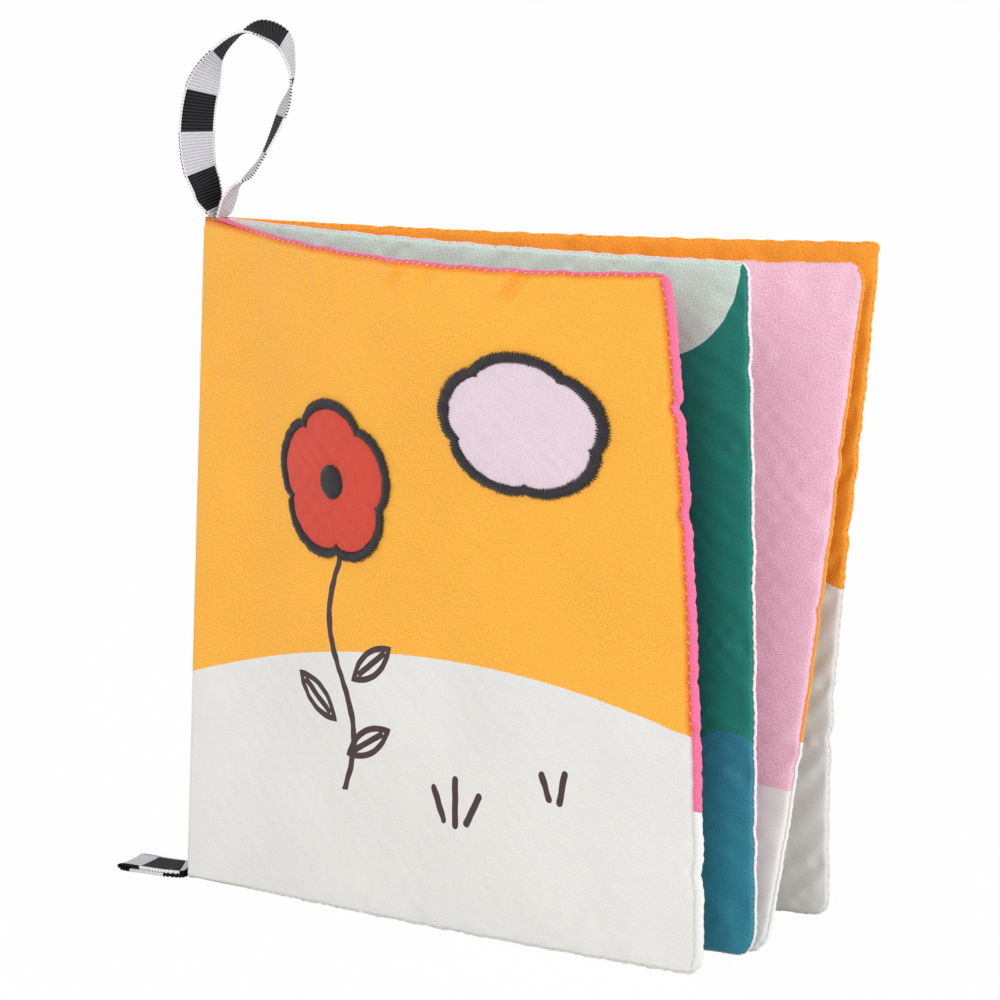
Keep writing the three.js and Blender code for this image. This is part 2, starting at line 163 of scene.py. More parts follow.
# Leaves: bearings at the spine and at the fore edge, along the bottom and the top, the
# bend at mid height, how far the sewing draws the edges in, the rims beyond the seam at
# the fore, bottom and top edge, and the radius of the bottom and the top corner; a foot
# drawn in is shorter by that much at the bottom
leaves = {
    "front_cover": {
        "bottom": (46.5, 36.2), "top": (65.6, 29.0), "bend": -2.2, "drawn": 3.3,
        "foot_drawn": 0, "lifts": (0, 0.1), "rims": (2.3, 0.45, 0.8), "corners": (5.5, 4.4),
        "notches": ((145.5, 1.4), (118, 0.8), (75, 0.7), (26, 0.5)),
    },
    "second_leaf": {
        "bottom": (38.8, 29.9), "top": (36.8, 41.6), "bend": -0.9, "drawn": 1.4,
        "foot_drawn": 0, "lifts": (2.1, 2.0), "rims": (0.6, 0.3, 0.45), "corners": (6, 3.6),
        "notches": ((152, 0.4), (96, 0.5), (33, 0.4)),
    },
    "third_leaf": {
        "bottom": (27.8, 38.7), "top": (17.8, 14.0), "bend": -2.0, "drawn": 2.9,
        "foot_drawn": 0, "lifts": (2.1, -2.5), "rims": (0.75, 0.4, 0.25), "corners": (6, 6),
        "notches": ((130, 0.5), (88, 0.7), (48, 0.5)),
    },
    "back_cover": {
        "bottom": (-4, 24), "top": (4.2, 15.2), "bend": 3, "drawn": 1.4,
        "foot_drawn": 5.2, "lifts": (0, 1.3), "rims": (0.3, 0.3, 0.3), "corners": (4.5, 1.5),
        "notches": ((160, 0.3), (104, 0.5), (61, 0.6), (49, 0.9)),
    },
}
foot_span = (22, 165)     # heights between which a drawn-in foot widens to the full page

# Tucks where the cover's cloth is caught in its seam: the two ends of each, and its depth
cover_tucks = (
    ((90, 179), (82.5, 170.5), 2.6), ((132, 179), (121.5, 169.5), 3.6),
    ((100, 178), (95, 171), 1.2), ((174, 63), (165, 58), 0.8), ((60, 1), (66, 10), 0.8),
)
tuck_half_width = 1.25
tuck_swell_shares = ((2.4, 0.5), (-2.2, 0.25))    # how far aside, to its half width, and height
tuck_swell_width_share = 2
tuck_fade_shares = (0.3, 1.2)    # of its length
least_tuck_half = 0.3     # half thickness that a tuck leaves
spine_dents = ((137.5, 1.5, 3.6), (96, 0.4, 6), (41, 0.5, 5))   # height, depth, half width

# Waves, puckers and dimples: a run is how many waves lie over each other, and the shortest
# and the longest of them
least_wave_share = 0.4    # of the height, for the lowest waves
notch_half_width = 1.7
edge_fade = 9
edge_wave_height = 0.2
edge_run = (9, 4, 22)
middle_wave_share = 0.6   # of the edge waves' pace, where the whole leaf sways
fold_wave_height = 0.15
fold_run = (4, 15, 60)
scallop_depths = (0.3, 0.2, 0.1)    # of the fore, bottom and top rim, drawn in at every stitch
scallop_reach = 2.4
pucker_height = 0.3
pucker_rise = 3.5
pucker_reach = 20
pucker_run = (9, 6, 19)
pucker_slope = 0.9
dimple_height = 0.35
dimple_run = (3, 34, 80)
calm_reach = 6            # beside the spine, where the waves die out
leaf_seed = 5

# Cloth simulation: how the wadding presses and holds the cloth, and the cloth to spare
settle_cells = 60
settle_frames = 20
settle_quality = 6
settle_mass = 0.001
cloth_stretch = 12
cloth_shear = 3
cloth_bend = 0.02
wadding_hold = 0.42
wadding_stiffness = 1
wadding_pressure = 45
spare_cloth_share = 0.006
gathered_cloth_share = 0.12
gather_reach = 26
slack_limit = 0.8

# Sewn-on patches of the front cover
patch_lift = 0.4
patch_dome = 0.55         # how far its middle stands above its edge
patch_under = 0.1         # how far its underside lies above the cover
patch_spokes = 160
patch_rings = 16
first_ring_share = 0.02
rumple_height = 0.12
rumple_run = (5, 5, 15)
rumple_slant = 1.3
rumple_seed = 3
border_width = 2.3
border_height = 0.6
border_steps = (0.5, 0.4)        # how far every second thread reaches on, in and out
border_jitters = (0.3, 0.2)
border_seed = 17
outline_count = 2000      # of the fine steps that measure a border
thread_pitch = 0.4
thread_radius = 0.24
thread_lean = 0.5         # how far a border thread's ends lie apart along the border
heart_lean = 0.3
heart_jitter = (-0.2, 0.3)
heart_seed = 23
flower = {
    "across": 0.32 * page_reach, "up": 0.644 * page_height, "reach": 20, "stretch": 1,
    "lobes": 5, "scallop": 0.16,
}
flower_heart_reach = 4.6
cloud = {
    "across": 0.72 * page_reach, "up": 0.767 * page_height, "reach": 17, "stretch": 1.42,
    "lobes": 5, "scallop": 0.1,
}
clearance = 0.3

# The bottom loop's route: shares of its length, layers, shares of its width, and how far
# it lies towards the reader
tab_shares = (
    (0.14, 0.1, 0.6, 0), (0.34, 0, 1, 0.15), (0.65, 0, 1, 0.19), (1, 0, 1, 0.19),
    (1.03, 0.5, 1, 0.19), (1, 1, 1, 0.19), (0.65, 1.1, 1, 0.19), (0.34, 1.1, 1, 0.15),
    (0.16, 1.3, 0.6, 0),
)

# The top loop's route in shares of its rise: its middle, the way its width points, and
# its share of the ribbon's width
loop_shares = (
    (-0.03, 0.004, 0.04, 0.7, 0.7, 0.02, 0.64), (-0.056, 0.006, 0.1, 0.8, 0.6, 0.02, 0.9),
    (-0.076, 0.002, 0.17, 0.8, 0.6, 0.02, 1), (-0.113, -0.01, 0.275, 0.88, 0.46, 0.05, 1),
    (-0.13, -0.03, 0.475, 0.95, 0.3, 0.02, 1), (-0.104, -0.036, 0.69, 0.9, 0.42, 0.1, 1),
    (-0.03, -0.016, 0.872, 0.42, 0.9, 0, 1), (0.078, 0.02, 0.975, 0.14, 0.98, -0.08, 1),
    (0.22, 0.06, 1.005, -0.04, 0.86, 0.5, 1), (0.315, 0.088, 0.955, 0.3, 0.88, 0.36, 1),
    (0.355, 0.1, 0.85, 0.2, 0.97, 0.05, 1), (0.367, 0.096, 0.73, 0, 0.99, -0.12, 1),
    (0.325, 0.084, 0.575, -0.3, 0.94, -0.1, 1), (0.222, 0.064, 0.325, -0.14, 0.98, -0.1, 1),
    (0.15, 0.052, 0.22, -0.1, 0.98, 0.06, 1), (0.084, 0.03, 0.15, 0.2, 0.97, -0.1, 1),
    (0.052, 0.014, 0.09, 0.4, 0.9, 0, 0.9), (0.03, 0, 0.04, 0.5, 0.86, 0, 0.7),
)

cover = leaves["front_cover"]

low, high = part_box("spine_core")
spine_axis = np.array(((low.x + high.x) / 2, (low.y + high.y) / 2, 0)) / millimetre


# Small helpers

def mix(start, end, share):
    return start + (end - start) * share


def hump(share):
    return 4 * share * (1 - share)


def smooth(value, start, end):
    share = np.clip((value - start) / (end - start), 0, 1)
    return share * share * (3 - 2 * share)


def swell(distance):
    return np.sqrt(1 - (1 - np.clip(distance / crown_reach, 0, 1)) ** 2)


def way_to(bearing):
    angle = np.radians(bearing)
    return np.stack([np.cos(angle), -np.sin(angle), np.zeros_like(angle)], -1)


def unit(vectors):
    return vectors / np.linalg.norm(vectors, axis=-1, keepdims=True)


def distances_along(points):
    """How far along a run of points each of them lies."""
    steps = np.linalg.norm(np.diff(points, axis=0), axis=1)
    return np.concatenate([[0], np.cumsum(steps)])


def linear(red, green, blue):
    """A colour written from 0 to 255 as a screen shows it, as the shader's light values."""
    shares = np.array((red, green, blue)) / 255
    light = np.where(shares <= 0.04045, shares / 12.92, ((shares + 0.055) / 1.055) ** 2.4)
    return (*light.tolist(), 1)


# Materials

class Value:
    """A shader socket that can stand in a sum."""

    def __init__(self, finish, socket):
        self.finish = finish
        self.socket = socket

    def maths(self, operation, *others):
        return self.finish.maths(operation, self, *others)

    def __add__(self, other):
        return self.maths("ADD", other)

    def __sub__(self, other):
        return self.maths("SUBTRACT", other)

    def __mul__(self, other):
        return self.maths("MULTIPLY", other)

    def __truediv__(self, other):
        return self.maths("DIVIDE", other)

    def __rsub__(self, other):
        return self.finish.maths("SUBTRACT", other, self)

    __radd__ = __add__
    __rmul__ = __mul__

    def above(self, edge):
        return self.maths("GREATER_THAN", edge)

    def below(self, edge):
        return self.maths("LESS_THAN", edge)

    def size(self):
        return self.maths("ABSOLUTE")

    def least(self, other):
        return self.maths("MINIMUM", other)

    def most(self, other):
        return self.maths("MAXIMUM", other)

    def root(self):
        return self.maths("SQRT")

    def swing(self, share):
        """A noise's swing about its middle, scaled to a share."""
        return (self - 0.5) * share

    def wave(self, pitch):
        return (self * (2 * math.pi / pitch)).maths("SINE")

    def fade(self, start, end):
        """0 at start and 1 at end, and smooth between them."""
        settings = {"interpolation_type": "SMOOTHSTEP"}
        sockets = {"Value": self, "From Min": start, "From Max": end}
        return self.finish.node("ShaderNodeMapRange", settings, sockets, "Result")


class Finish:
    """The node tree of one material, or of the world."""

    def __init__(self, name, world=False):
        self.material = (bpy.data.worlds if world else bpy.data.materials).new(name)
        self.material.use_nodes = True
        self.tree = self.material.node_tree
        self.tree.nodes.clear()

    def node(self, kind, settings, sockets, result=0):
        made = self.tree.nodes.new(kind)
        for name, setting in settings.items():
            setattr(made, name, setting)
        for name, value in sockets.items():
            if isinstance(value, Value):
                self.tree.links.new(value.socket, made.inputs[name])
            else:
                made.inputs[name].default_value = value
        return Value(self, made.outputs[result]) if made.outputs else None

    def maths(self, operation, *values):
        sockets = dict(enumerate(values))
        return self.node("ShaderNodeMath", {"operation": operation}, sockets)

    def blend(self, share, first, second, kind="MIX"):
        """One colour over another, by a share from 0 to 1."""
        settings = {"data_type": "RGBA", "blend_type": kind}
        return self.node("ShaderNodeMix", settings, {0: share, 6: first, 7: second}, 2)

    def vector(self, x, y, z=0):
        return self.node("ShaderNodeCombineXYZ", {}, {0: x, 1: y, 2: z})

    def shaded(self, colour, light):
        """A colour made lighter or darker by one number."""
        return self.blend(1, colour, self.vector(light, light, light), "MULTIPLY")

    def parts(self, name):
        """The three numbers that a mesh keeps at each point under a name."""
        kept = self.node("ShaderNodeAttribute", {"attribute_name": name}, {}, "Vector")
        return [self.node("ShaderNodeSeparateXYZ", {}, {0: kept}, part) for part in range(3)]

    def grains(self, place, size, detail=2, distortion=0):
        sockets = {"Vector": place, "Scale": 1 / size, "Detail": detail, "Distortion": distortion}
        return self.node("ShaderNodeTexNoise", {}, sockets)

    def bump(self, height, depth, below=None):
        sockets = {"Height": height, "Strength": 1, "Distance": depth * millimetre}
        if below is not None:
            sockets["Normal"] = below
        return self.node("ShaderNodeBump", {}, sockets)

    def looked_at(self):
        """1 where the camera looks, straight or by way of a glossy or clear surface."""
        rays = ("Is Camera Ray", "Is Glossy Ray", "Is Transmission Ray")
        straight, glossy, through = (
            self.node("ShaderNodeLightPath", {}, {}, ray) for ray in rays)
        return straight.most(glossy).most(through)

    def surface(self, **sockets):
        """Ends the material in a principled surface."""
        names = {name.replace("_", " ").title(): value for name, value in sockets.items()}
        names = {name.replace("Ior", "IOR"): value for name, value in names.items()}
        shader = self.node("ShaderNodeBsdfPrincipled", {}, names)
        self.node("ShaderNodeOutputMaterial", {}, {"Surface": shader})
        return self.material


# Colours, as the photograph shows them in plain light, but for the painted shade and sheen marked
# below
orange = linear(253, 181, 62)
# Painted shade: the orange cloth darkened to its look in the shade inside the book
shadowed_orange = linear(244, 155, 40)
# Painted shade: a deeper orange for the cloth beside the cover's seam groove
seam_shade_orange = linear(236, 118, 22)
off_white = linear(231, 231, 228)
hot_pink = linear(240, 112, 154)
mint = linear(208, 236, 222)
teal = linear(22, 127, 113)
blue = linear(47, 131, 153)
pale_pink = linear(246, 226, 234)
light_pink = linear(236, 189, 206)
print_brown = linear(70, 52, 58)
red = linear(222, 74, 54)
patch_pink = linear(240, 220, 232)
ribbon_light = linear(206, 206, 212)
ribbon_dark = linear(13, 13, 14)
# Painted sheen: a lighter black for the ridges of the dark ribs
ribbon_dark_sheen = linear(44, 44, 47)
ribbon_edge = linear(238, 238, 242)
stitch_dark = linear(38, 34, 38)
thread_pale = linear(240, 222, 214)
seam_cream = linear(232, 220, 204)
floor_grey = linear(245, 245, 245)
white_light = (1, 1, 1, 1)

# Printed cloth: the sizes of its weave, flecks, cloudy shades and faint folds, how much the
# first three shift its light, and how deep weave and folds look
weave_size = 0.42
fleck_size = 0.28
cloud_size = 38
faint_fold_size = 9
faint_fold_stretch = 1.4
weave_share = 0.9
fleck_share = 0.8
cloud_share = 0.16
weave_depth = 0.05
faint_fold_depth = 0.3
seam_shade_reach = 1.9    # of the painted shade beside the cover's seam, a deeper orange
seam_shade_share = 0.85
quiet_grain_share = 0.3   # of the grain, where the cloth is left unprinted

# Strands of the threads
strand_size = 0.35
strand_base_share = 0.8
strand_share = 0.4
strand_depth = 0.12

# Twill of the patches
nap_size = 0.4
nap_share = 0.32
nap_depth = 0.15
nap_cloud_size = 9
nap_cloud_share = 0.12
nap_cloud_depth = 0.4
twill_pitch = 0.6
twill_way = (0.8, 0.6)
twill_share = 0.05
twill_height_share = 0.4

# Weave of the ribbons
ribbon_fleck_size = 0.45
ribbon_base_share = 0.8
ribbon_fleck_share = 0.34
ribbon_rib_share = 0.12
ribbon_height_shares = (0.4, 0.2, 0.6)    # of ribs, warp and flecks
ribbon_weave_depth = 0.16


def ground(across, up, apex, fall_before, fall_after):
    """Where a printed hill is: below a curve that falls off from its top on both sides."""
    off = across - apex[0]
    fall = off.below(0) * fall_before + off.above(0) * fall_after
    return (apex[1] - off * off * fall - up).above(0)


def disc(across, up, middle, radius):
    off = across - middle[0]
    rise = up - middle[1]
    return (off * off + rise * rise).below(radius * radius)


def cloth(name, picture, hill=None, painted_seam_shade=None, lines=None):
    """Printed, finely woven polyester: lines over a plain hill over a picture, and grain."""
    finish = Finish(name)
    across, up, beside_seam = finish.parts("page")
    grain = finish.grains(finish.vector((across + up) / 2, across - up), weave_size, detail=1)
    fleck = finish.grains(finish.vector(across, up), fleck_size, detail=1)
    cloudy = finish.grains(finish.vector(across, up), cloud_size)
    colour = picture(finish, across, up)
    strength = 1
    # Painted shade: the cloth turns deeper orange near the seam's groove
    if painted_seam_shade is not None:
        near = (1 - beside_seam.fade(0, seam_shade_reach)) * seam_shade_share
        colour = finish.blend(near, colour, painted_seam_shade)
    if hill is not None:
        white = ground(across, up, *hill)
        colour = finish.blend(white, colour, off_white)
        strength = 1 - white * (1 - quiet_grain_share)
    if lines is not None:
        colour = lines(finish, across, up, colour)
    fine = grain.swing(weave_share) + fleck.swing(fleck_share)
    light = 1 + fine * strength + cloudy.swing(cloud_share)
    folds = finish.grains(
        finish.vector(across / faint_fold_stretch, up), faint_fold_size, detail=1, distortion=0.5)
    normal = finish.bump(folds, faint_fold_depth, finish.bump(grain, weave_depth))
    return finish.surface(
        base_color=finish.shaded(colour, light), roughness=0.62, normal=normal, sheen_weight=0.1,
        sheen_roughness=0.5, specular_ior_level=0.3)


def stroke(across, up, start, end, width):
    """A printed line between two places, with round ends."""
    reach = (end[0] - start[0], end[1] - start[1])
    length = math.hypot(*reach)
    way = (reach[0] / length, reach[1] / length)
    off = across - start[0]
    rise = up - start[1]
    along = (off * way[0] + rise * way[1]).most(0).least(length)
    aside = off - along * way[0]
    over = rise - along * way[1]
    return (aside * aside + over * over).below(width * width / 4)


def printed_leaf(across, up, middle, turn, length, width, line):
    """The outline of a pointed leaf, with its mid vein."""
    angle = math.radians(turn)
    off = across - middle[0]
    rise = up - middle[1]
    along = off * math.cos(angle) + rise * math.sin(angle)
    aside = (rise * math.cos(angle) - off * math.sin(angle)).size()
    radius = (length * length + width * width) / (4 * width)
    over = aside + (radius - width / 2)
    bulge = (along * along + over * over).root() - radius
    vein = aside.below(line / 2) * along.size().below(length / 3)
    return (bulge + line / 2).size().below(line / 2).most(vein * bulge.below(0))


# The cover's printed lines; each small leaf is its middle and its turn in degrees, and each
# blade of grass is its foot and its tip
line_width = 2.1
stem_top = flower["up"] - 0.8 * flower["reach"]
stem_foot = 33
stem_sway = 4.2
stem_wave_share = 0.9     # of the stem's height
small_leaf_length = 19
small_leaf_width = 7.6
small_leaf_line = 0.8 * line_width
small_leaves = (((67.5, 68), 35), ((46.5, 57), 140), ((65.5, 47), 28))
grass_blades = (
    ((92, 30), (89, 38)), ((96, 29), (96.5, 41)), ((100, 30), (104.5, 37.5)),
    ((128, 40), (126, 46)), ((131.5, 39.5), (133.5, 47)),
)


def cover_lines(finish, across, up, colour):
    """A flower's stem, its small leaves and tufts of grass."""
    sway = (up - stem_foot).wave(stem_wave_share * (stem_top - stem_foot)) * stem_sway
    middle = across - flower["across"] - sway
    marks = middle.size().below(line_width / 2) * up.above(stem_foot) * up.below(stem_top)
    for place, turn in small_leaves:
        marks = marks.most(printed_leaf(
            across, up, place, turn, small_leaf_length, small_leaf_width, small_leaf_line))
    for foot, tip in grass_blades:
        marks = marks.most(stroke(across, up, foot, tip, line_width))
    return finish.blend(marks, colour, print_brown)


def plain(colour):
    return lambda finish, across, up: finish.blend(0, colour, colour)


# Printed shapes: the middle and the radius of a round one, and the top of a hill and how it
# falls before and after it
mint_round = ((145.3, 182), 27.9)
blue_mound = ((167, 45.6), 12.9)
blue_hill = ((167, 54), 0.0022, 0.004)
hills = {
    "front_cover_front": ((96, 72.4), 0.00153, 0.00192),
    "front_cover_back": ((100, 50), 0.0009, 0.00142),
    "second_leaf_front": None,
    "second_leaf_back": ((40, 37), 0.0006, 0.0008),
    "third_leaf_front": ((110, 45), 0.00085, 0.00085),
    "third_leaf_back": ((0, 87), 0, 0.00108),
    "back_cover_front": ((92, 105.2), 0.0021, 0.0024),
    "back_cover_back": ((200, 92), 0.00088, 0),
}
spine_hill = ((0, 56.5), 0, 0)


def second_front_picture(finish, across, up):
    """Teal field with a long mint shape under the top and a blue mound."""
    middle, radius = mint_round
    colour = finish.blend(disc(across, up, middle, radius), teal, mint)
    strip = across.below(middle[0]) * up.above(middle[1] - radius)
    colour = finish.blend(strip, colour, mint)
    mound = disc(across, up, *blue_mound)
    hill = ground(across, up, *blue_hill)
    return finish.blend(hill.most(mound), colour, blue)


pictures = {
    "front_cover_front": ("orange_cover_cloth", plain(orange)),
    "front_cover_back": ("hot_pink_cloth", plain(hot_pink)),
    "second_leaf_front": ("teal_cloth", second_front_picture),
    "second_leaf_back": ("pale_pink_cloth", plain(pale_pink)),
    "third_leaf_front": ("pink_cloth", plain(light_pink)),
    # The inner faces by the back cover take the orange with painted shade
    "third_leaf_back": ("deep_orange_cloth", plain(shadowed_orange)),
    "back_cover_front": ("inner_orange_cloth", plain(shadowed_orange)),
    "back_cover_back": ("orange_back_cloth", plain(orange)),
}
# The cover's outer side gets painted shade beside its seam, and its printed lines
extras = {"front_cover_front": (seam_shade_orange, cover_lines)}
cloths = {
    side: cloth(*picture, hills[side], *extras.get(side, ()))
    for side, picture in pictures.items()}
spine_cloth = cloth("orange_spine_cloth", plain(orange), spine_hill)


def thread_finish(name, colour, roughness):
    """Twisted or satin thread, with fine strands along it."""
    finish = Finish(name)
    place = finish.node("ShaderNodeTexCoord", {}, {}, "Object")
    strand = finish.grains(place, strand_size * millimetre)
    shade = finish.shaded(colour, strand_base_share + strand * strand_share)
    return finish.surface(
        base_color=shade, roughness=roughness, normal=finish.bump(strand, strand_depth),
        sheen_weight=0.1, specular_ior_level=0.4)


pale_thread = thread_finish("pale_seam_thread", thread_pale, roughness=0.6)
satin_thread = thread_finish("dark_satin_thread", stitch_dark, roughness=0.42)
seam_bundle = thread_finish("raw_seam_edges", seam_cream, roughness=0.9)


def patch_cloth(name, colour):
    """A sewn-on patch of smooth twill, with its fine slanted lines."""
    finish = Finish(name)
    across, up, _ = finish.parts("page")
    nap, cloudy = (
        finish.grains(finish.vector(across, up), size, detail=3)
        for size in (nap_size, nap_cloud_size))
    lines = (across * twill_way[0] - up * twill_way[1]).wave(twill_pitch)
    light = 1 + lines * twill_share + nap.swing(nap_share) + cloudy.swing(nap_cloud_share)
    relief = lines * twill_height_share + nap
    normal = finish.bump(relief, nap_depth, finish.bump(cloudy, nap_cloud_depth))
    return finish.surface(
        base_color=finish.shaded(colour, light), roughness=0.75, normal=normal, sheen_weight=0.2,
        sheen_roughness=0.4, specular_ior_level=0.35)


red_patch = patch_cloth("red_patch_cloth", red)
pale_patch = patch_cloth("pale_patch_cloth", patch_pink)


def ribbon_finish(name, ribbon, first_dark):
    """Ribbed ribbon in dark and light stripes, with dark beads on parts of its selvedge."""
    finish = Finish(name)
    along, aside, _ = finish.parts("page")
    plain_beads, stripe = (
        (along / (2 * stripe_pitch) + start).maths("FRACT").below(0.5)
        for start in (ribbon["beads_later"], first_dark))
    fleck = finish.grains(finish.vector(along, aside), ribbon_fleck_size)
    rib = along.wave(rib_pitch)
    light = ribbon_base_share + fleck * ribbon_fleck_share + rib * ribbon_rib_share
    # Painted sheen: the dark stripes turn lighter on each rib's ridge
    sheened_dark = finish.blend(rib.fade(-1, 1), ribbon_dark, ribbon_dark_sheen)
    base = finish.blend(stripe, ribbon_light, sheened_dark)
    selvedge, outermost = (
        aside.size().above(share * ribbon_width / 2)
        for share in (selvedge_share, ribbon["dark_from"]))
    beads = along.wave(bead_pitch).above(ribbon["dark_above"]) * outermost * (1 - plain_beads)
    colour = finish.blend(selvedge, base, ribbon_edge)
    colour = finish.blend(beads, colour, ribbon_dark)
    of_ribs, of_warp, of_flecks = ribbon_height_shares
    height = rib * of_ribs + aside.wave(warp_pitch) * of_warp + fleck * of_flecks
    return finish.surface(
        base_color=finish.shaded(colour, light), roughness=0.7,
        normal=finish.bump(height, ribbon_weave_depth), specular_ior_level=0.18)


# Outer and inner face of each ribbon: a light stripe lies behind every dark one
for name, ribbon in (("top", top_ribbon), ("bottom", bottom_ribbon)):
    ribbon["finishes"] = [
        ribbon_finish(f"{name}_ribbon_{face}", ribbon, first_dark)
        for face, first_dark in (("outer", 0), ("inner", 0.5))]


# Meshes

def new_object(name, data):
    made = bpy.data.objects.new(name, data)
    bpy.context.scene.collection.objects.link(made)
    return made


def add_piece(name, points, faces, finishes, places=None, finish_of_face=None):
    """A mesh object from points in millimetres; places are what its material measures by."""
    mesh = bpy.data.meshes.new(name)
    corners = (np.asarray(points, float).reshape(-1, 3) + spine_axis) * millimetre
    mesh.from_pydata(corners.tolist(), [], [[int(i) for i in face] for face in faces])
    if places is not None:
        kept = mesh.attributes.new("page", "FLOAT_VECTOR", "POINT")
        kept.data.foreach_set("vector", np.asarray(places, np.float32).ravel())
    for finish in finishes:
        mesh.materials.append(finish)
    if finish_of_face is not None:
        mesh.polygons.foreach_set("material_index", np.asarray(finish_of_face, np.int32))
    mesh.shade_smooth()
    return new_object(name, mesh)


def enter(piece, body, slot, node):
    """Says which body a piece moves with and the node it stands for; its slot is not used."""
    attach(piece, body)
    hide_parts(node)


def used_only(points, places, faces):
    """Leaves out the points that no face uses."""
    faces = np.asarray(faces)
    used, renamed = np.unique(faces, return_inverse=True)
    return points[used], places[used], renamed.reshape(faces.shape)


def grid_faces(rows, columns, mask=None, flip=False, closed=False):
    """Quads of a lattice of points, row by row."""
    row, column = np.mgrid[0:rows - 1, 0:columns if closed else columns - 1]
    following = (column + 1) % columns
    a, b = row * columns + column, row * columns + following
    d, c = (row + 1) * columns + column, (row + 1) * columns + following
    quads = np.stack([a, d, c, b] if flip else [a, b, c, d], -1)
    return quads[mask] if mask is not None else quads.reshape(-1, 4)


def end_faces(rows, columns, start=0):
    """The faces that close the first and the last ring of a closed lattice."""
    last = start + (rows - 1) * columns
    return [list(range(start, start + columns))[::-1], list(range(last, last + columns))]


# Leaves

def leaf_place(leaf, across, up, out):
    """A point of a leaf from its place on the page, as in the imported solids."""
    across_share = across / page_reach
    up_share = up / page_height
    bend = leaf["bend"] * hump(up_share)
    root = mix(leaf["bottom"][0], leaf["top"][0], up_share) + bend
    fore = mix(leaf["bottom"][1], leaf["top"][1], up_share) + bend
    half_turn = np.radians(fore - root) * across_share / 2
    chord = np.radians(root) + half_turn
    drawn = leaf["drawn"] * hump(up_share) + leaf["foot_drawn"] * (1 - smooth(up, *foot_span))
    reach = (page_reach - drawn) * across_share * np.sinc(half_turn / np.pi)
    bearing = chord + half_turn
    seam = np.radians(leaf["root"])
    sag = leaf["drawn"] * hump(np.clip(across_share, 0, 1)) * np.maximum(0, 2 * up_share - 1)
    lift = mix(leaf["lifts"][0], leaf["lifts"][1], up_share) * across_share
    return np.stack([
        hinge_radius * np.cos(seam) + reach * np.cos(chord) - out * np.sin(bearing),
        -hinge_radius * np.sin(seam) - reach * np.sin(chord) - out * np.cos(bearing),
        up + lift - sag,
    ], -1)


def waves(chance, run, height):
    """Gentle waves along an edge, the same each time that the script runs."""
    count, shortest, longest = run
    lengths = chance.uniform(shortest, longest, count)
    phases = chance.uniform(0, 2 * np.pi, count)
    heights = chance.uniform(least_wave_share, 1, count) * height / math.sqrt(count)
    return lambda place: sum(
        h * np.sin(2 * np.pi * place / length + phase)
        for h, length, phase in zip(heights, lengths, phases))


def bell(distance, half_width):
    return np.exp(-(distance / half_width) ** 2)


def beside_spine(across):
    """0 at the spine and 1 out on the page, for waves that the spine holds still."""
    return smooth(across, calm_reach, root_pinch)


for number, leaf in enumerate(leaves.values()):
    chance = np.random.default_rng(number + leaf_seed)
    leaf["root"] = front_root_bearing - root_spacing * number
    leaf["edges"] = [waves(chance, edge_run, edge_wave_height) for _ in range(3)]
    leaf["ripples"] = [
        [waves(chance, pucker_run, pucker_height) for _ in range(3)] for _ in range(2)]
    leaf["slopes"] = chance.uniform(-pucker_slope, pucker_slope, 3)
    leaf["dimples"] = [[waves(chance, dimple_run, 1) for _ in range(4)] for _ in range(2)]
    leaf["swings"] = waves(chance, fold_run, fold_wave_height)
    leaf["slack"] = {}


def rounded(leaf, across, up):
    """Turns the square fore corners of the lattice into round ones, keeping distances."""
    from_fore = page_reach - across
    low_half = up < page_height / 2
    from_end = np.where(low_half, up, page_height - up)
    radius = np.where(low_half, *leaf["corners"])
    x = 1 - from_fore / radius
    y = 1 - from_end / radius
    inside = (x > 0) & (y > 0)
    ring = np.maximum(x, y)
    least = np.minimum(x, y)
    turn = np.pi / 4 * np.divide(least, ring, out=np.zeros_like(ring), where=ring > 0)
    turn = np.where(x >= y, turn, np.pi / 2 - turn)
    from_fore = np.where(inside, (1 - ring * np.cos(turn)) * radius, from_fore)
    from_end = np.where(inside, (1 - ring * np.sin(turn)) * radius, from_end)
    return page_reach - from_fore, np.where(low_half, from_end, page_height - from_end)


def seam_distance(leaf, across, up):
    """How far in from the seam's line a place lies; less than 0 on the rim."""
    rims = np.array(leaf["rims"])
    shares = np.stack([page_reach - across, up, page_height - up], -1) / rims
    return (shares.min(-1) - 1) * rims[np.argmin(shares, -1)]


def edge_distance(across, up):
    return np.minimum(page_reach - across, np.minimum(up, page_height - up))


def leaf_half(across, up):
    """Half of a leaf's thickness, without its rim."""
    fullness = swell(page_reach - across) * swell(up) * swell(page_height - up)
    free = mix(edge_half, crown_half, fullness)
    return mix(root_half, free, smooth(across, 0, root_pinch))


def is_outside(leaf, side):
    """Whether this side of the leaf is the outside of the closed book."""
    return (leaf is cover and side > 0) or (leaf is leaves["back_cover"] and side < 0)


def tucks(across, up):
    """Short slanted folds of the cover's cloth, each a groove between two swells."""
    total = 0
    for (start_across, start_up), (end_across, end_up), depth in cover_tucks:
        way = np.array((end_across - start_across, end_up - start_up))
        length = np.linalg.norm(way)
        way = way / length
        along = (across - start_across) * way[0] + (up - start_up) * way[1]
        aside = ((across - start_across) * way[1] - (up - start_up) * way[0]) / tuck_half_width
        swells = sum(
            height * bell(aside - spot, tuck_swell_width_share)
            for spot, height in tuck_swell_shares)
        fade = 1 - smooth(along, *(share * length for share in tuck_fade_shares))
        total = total + depth * fade * (swells - bell(aside, 1))
    return total


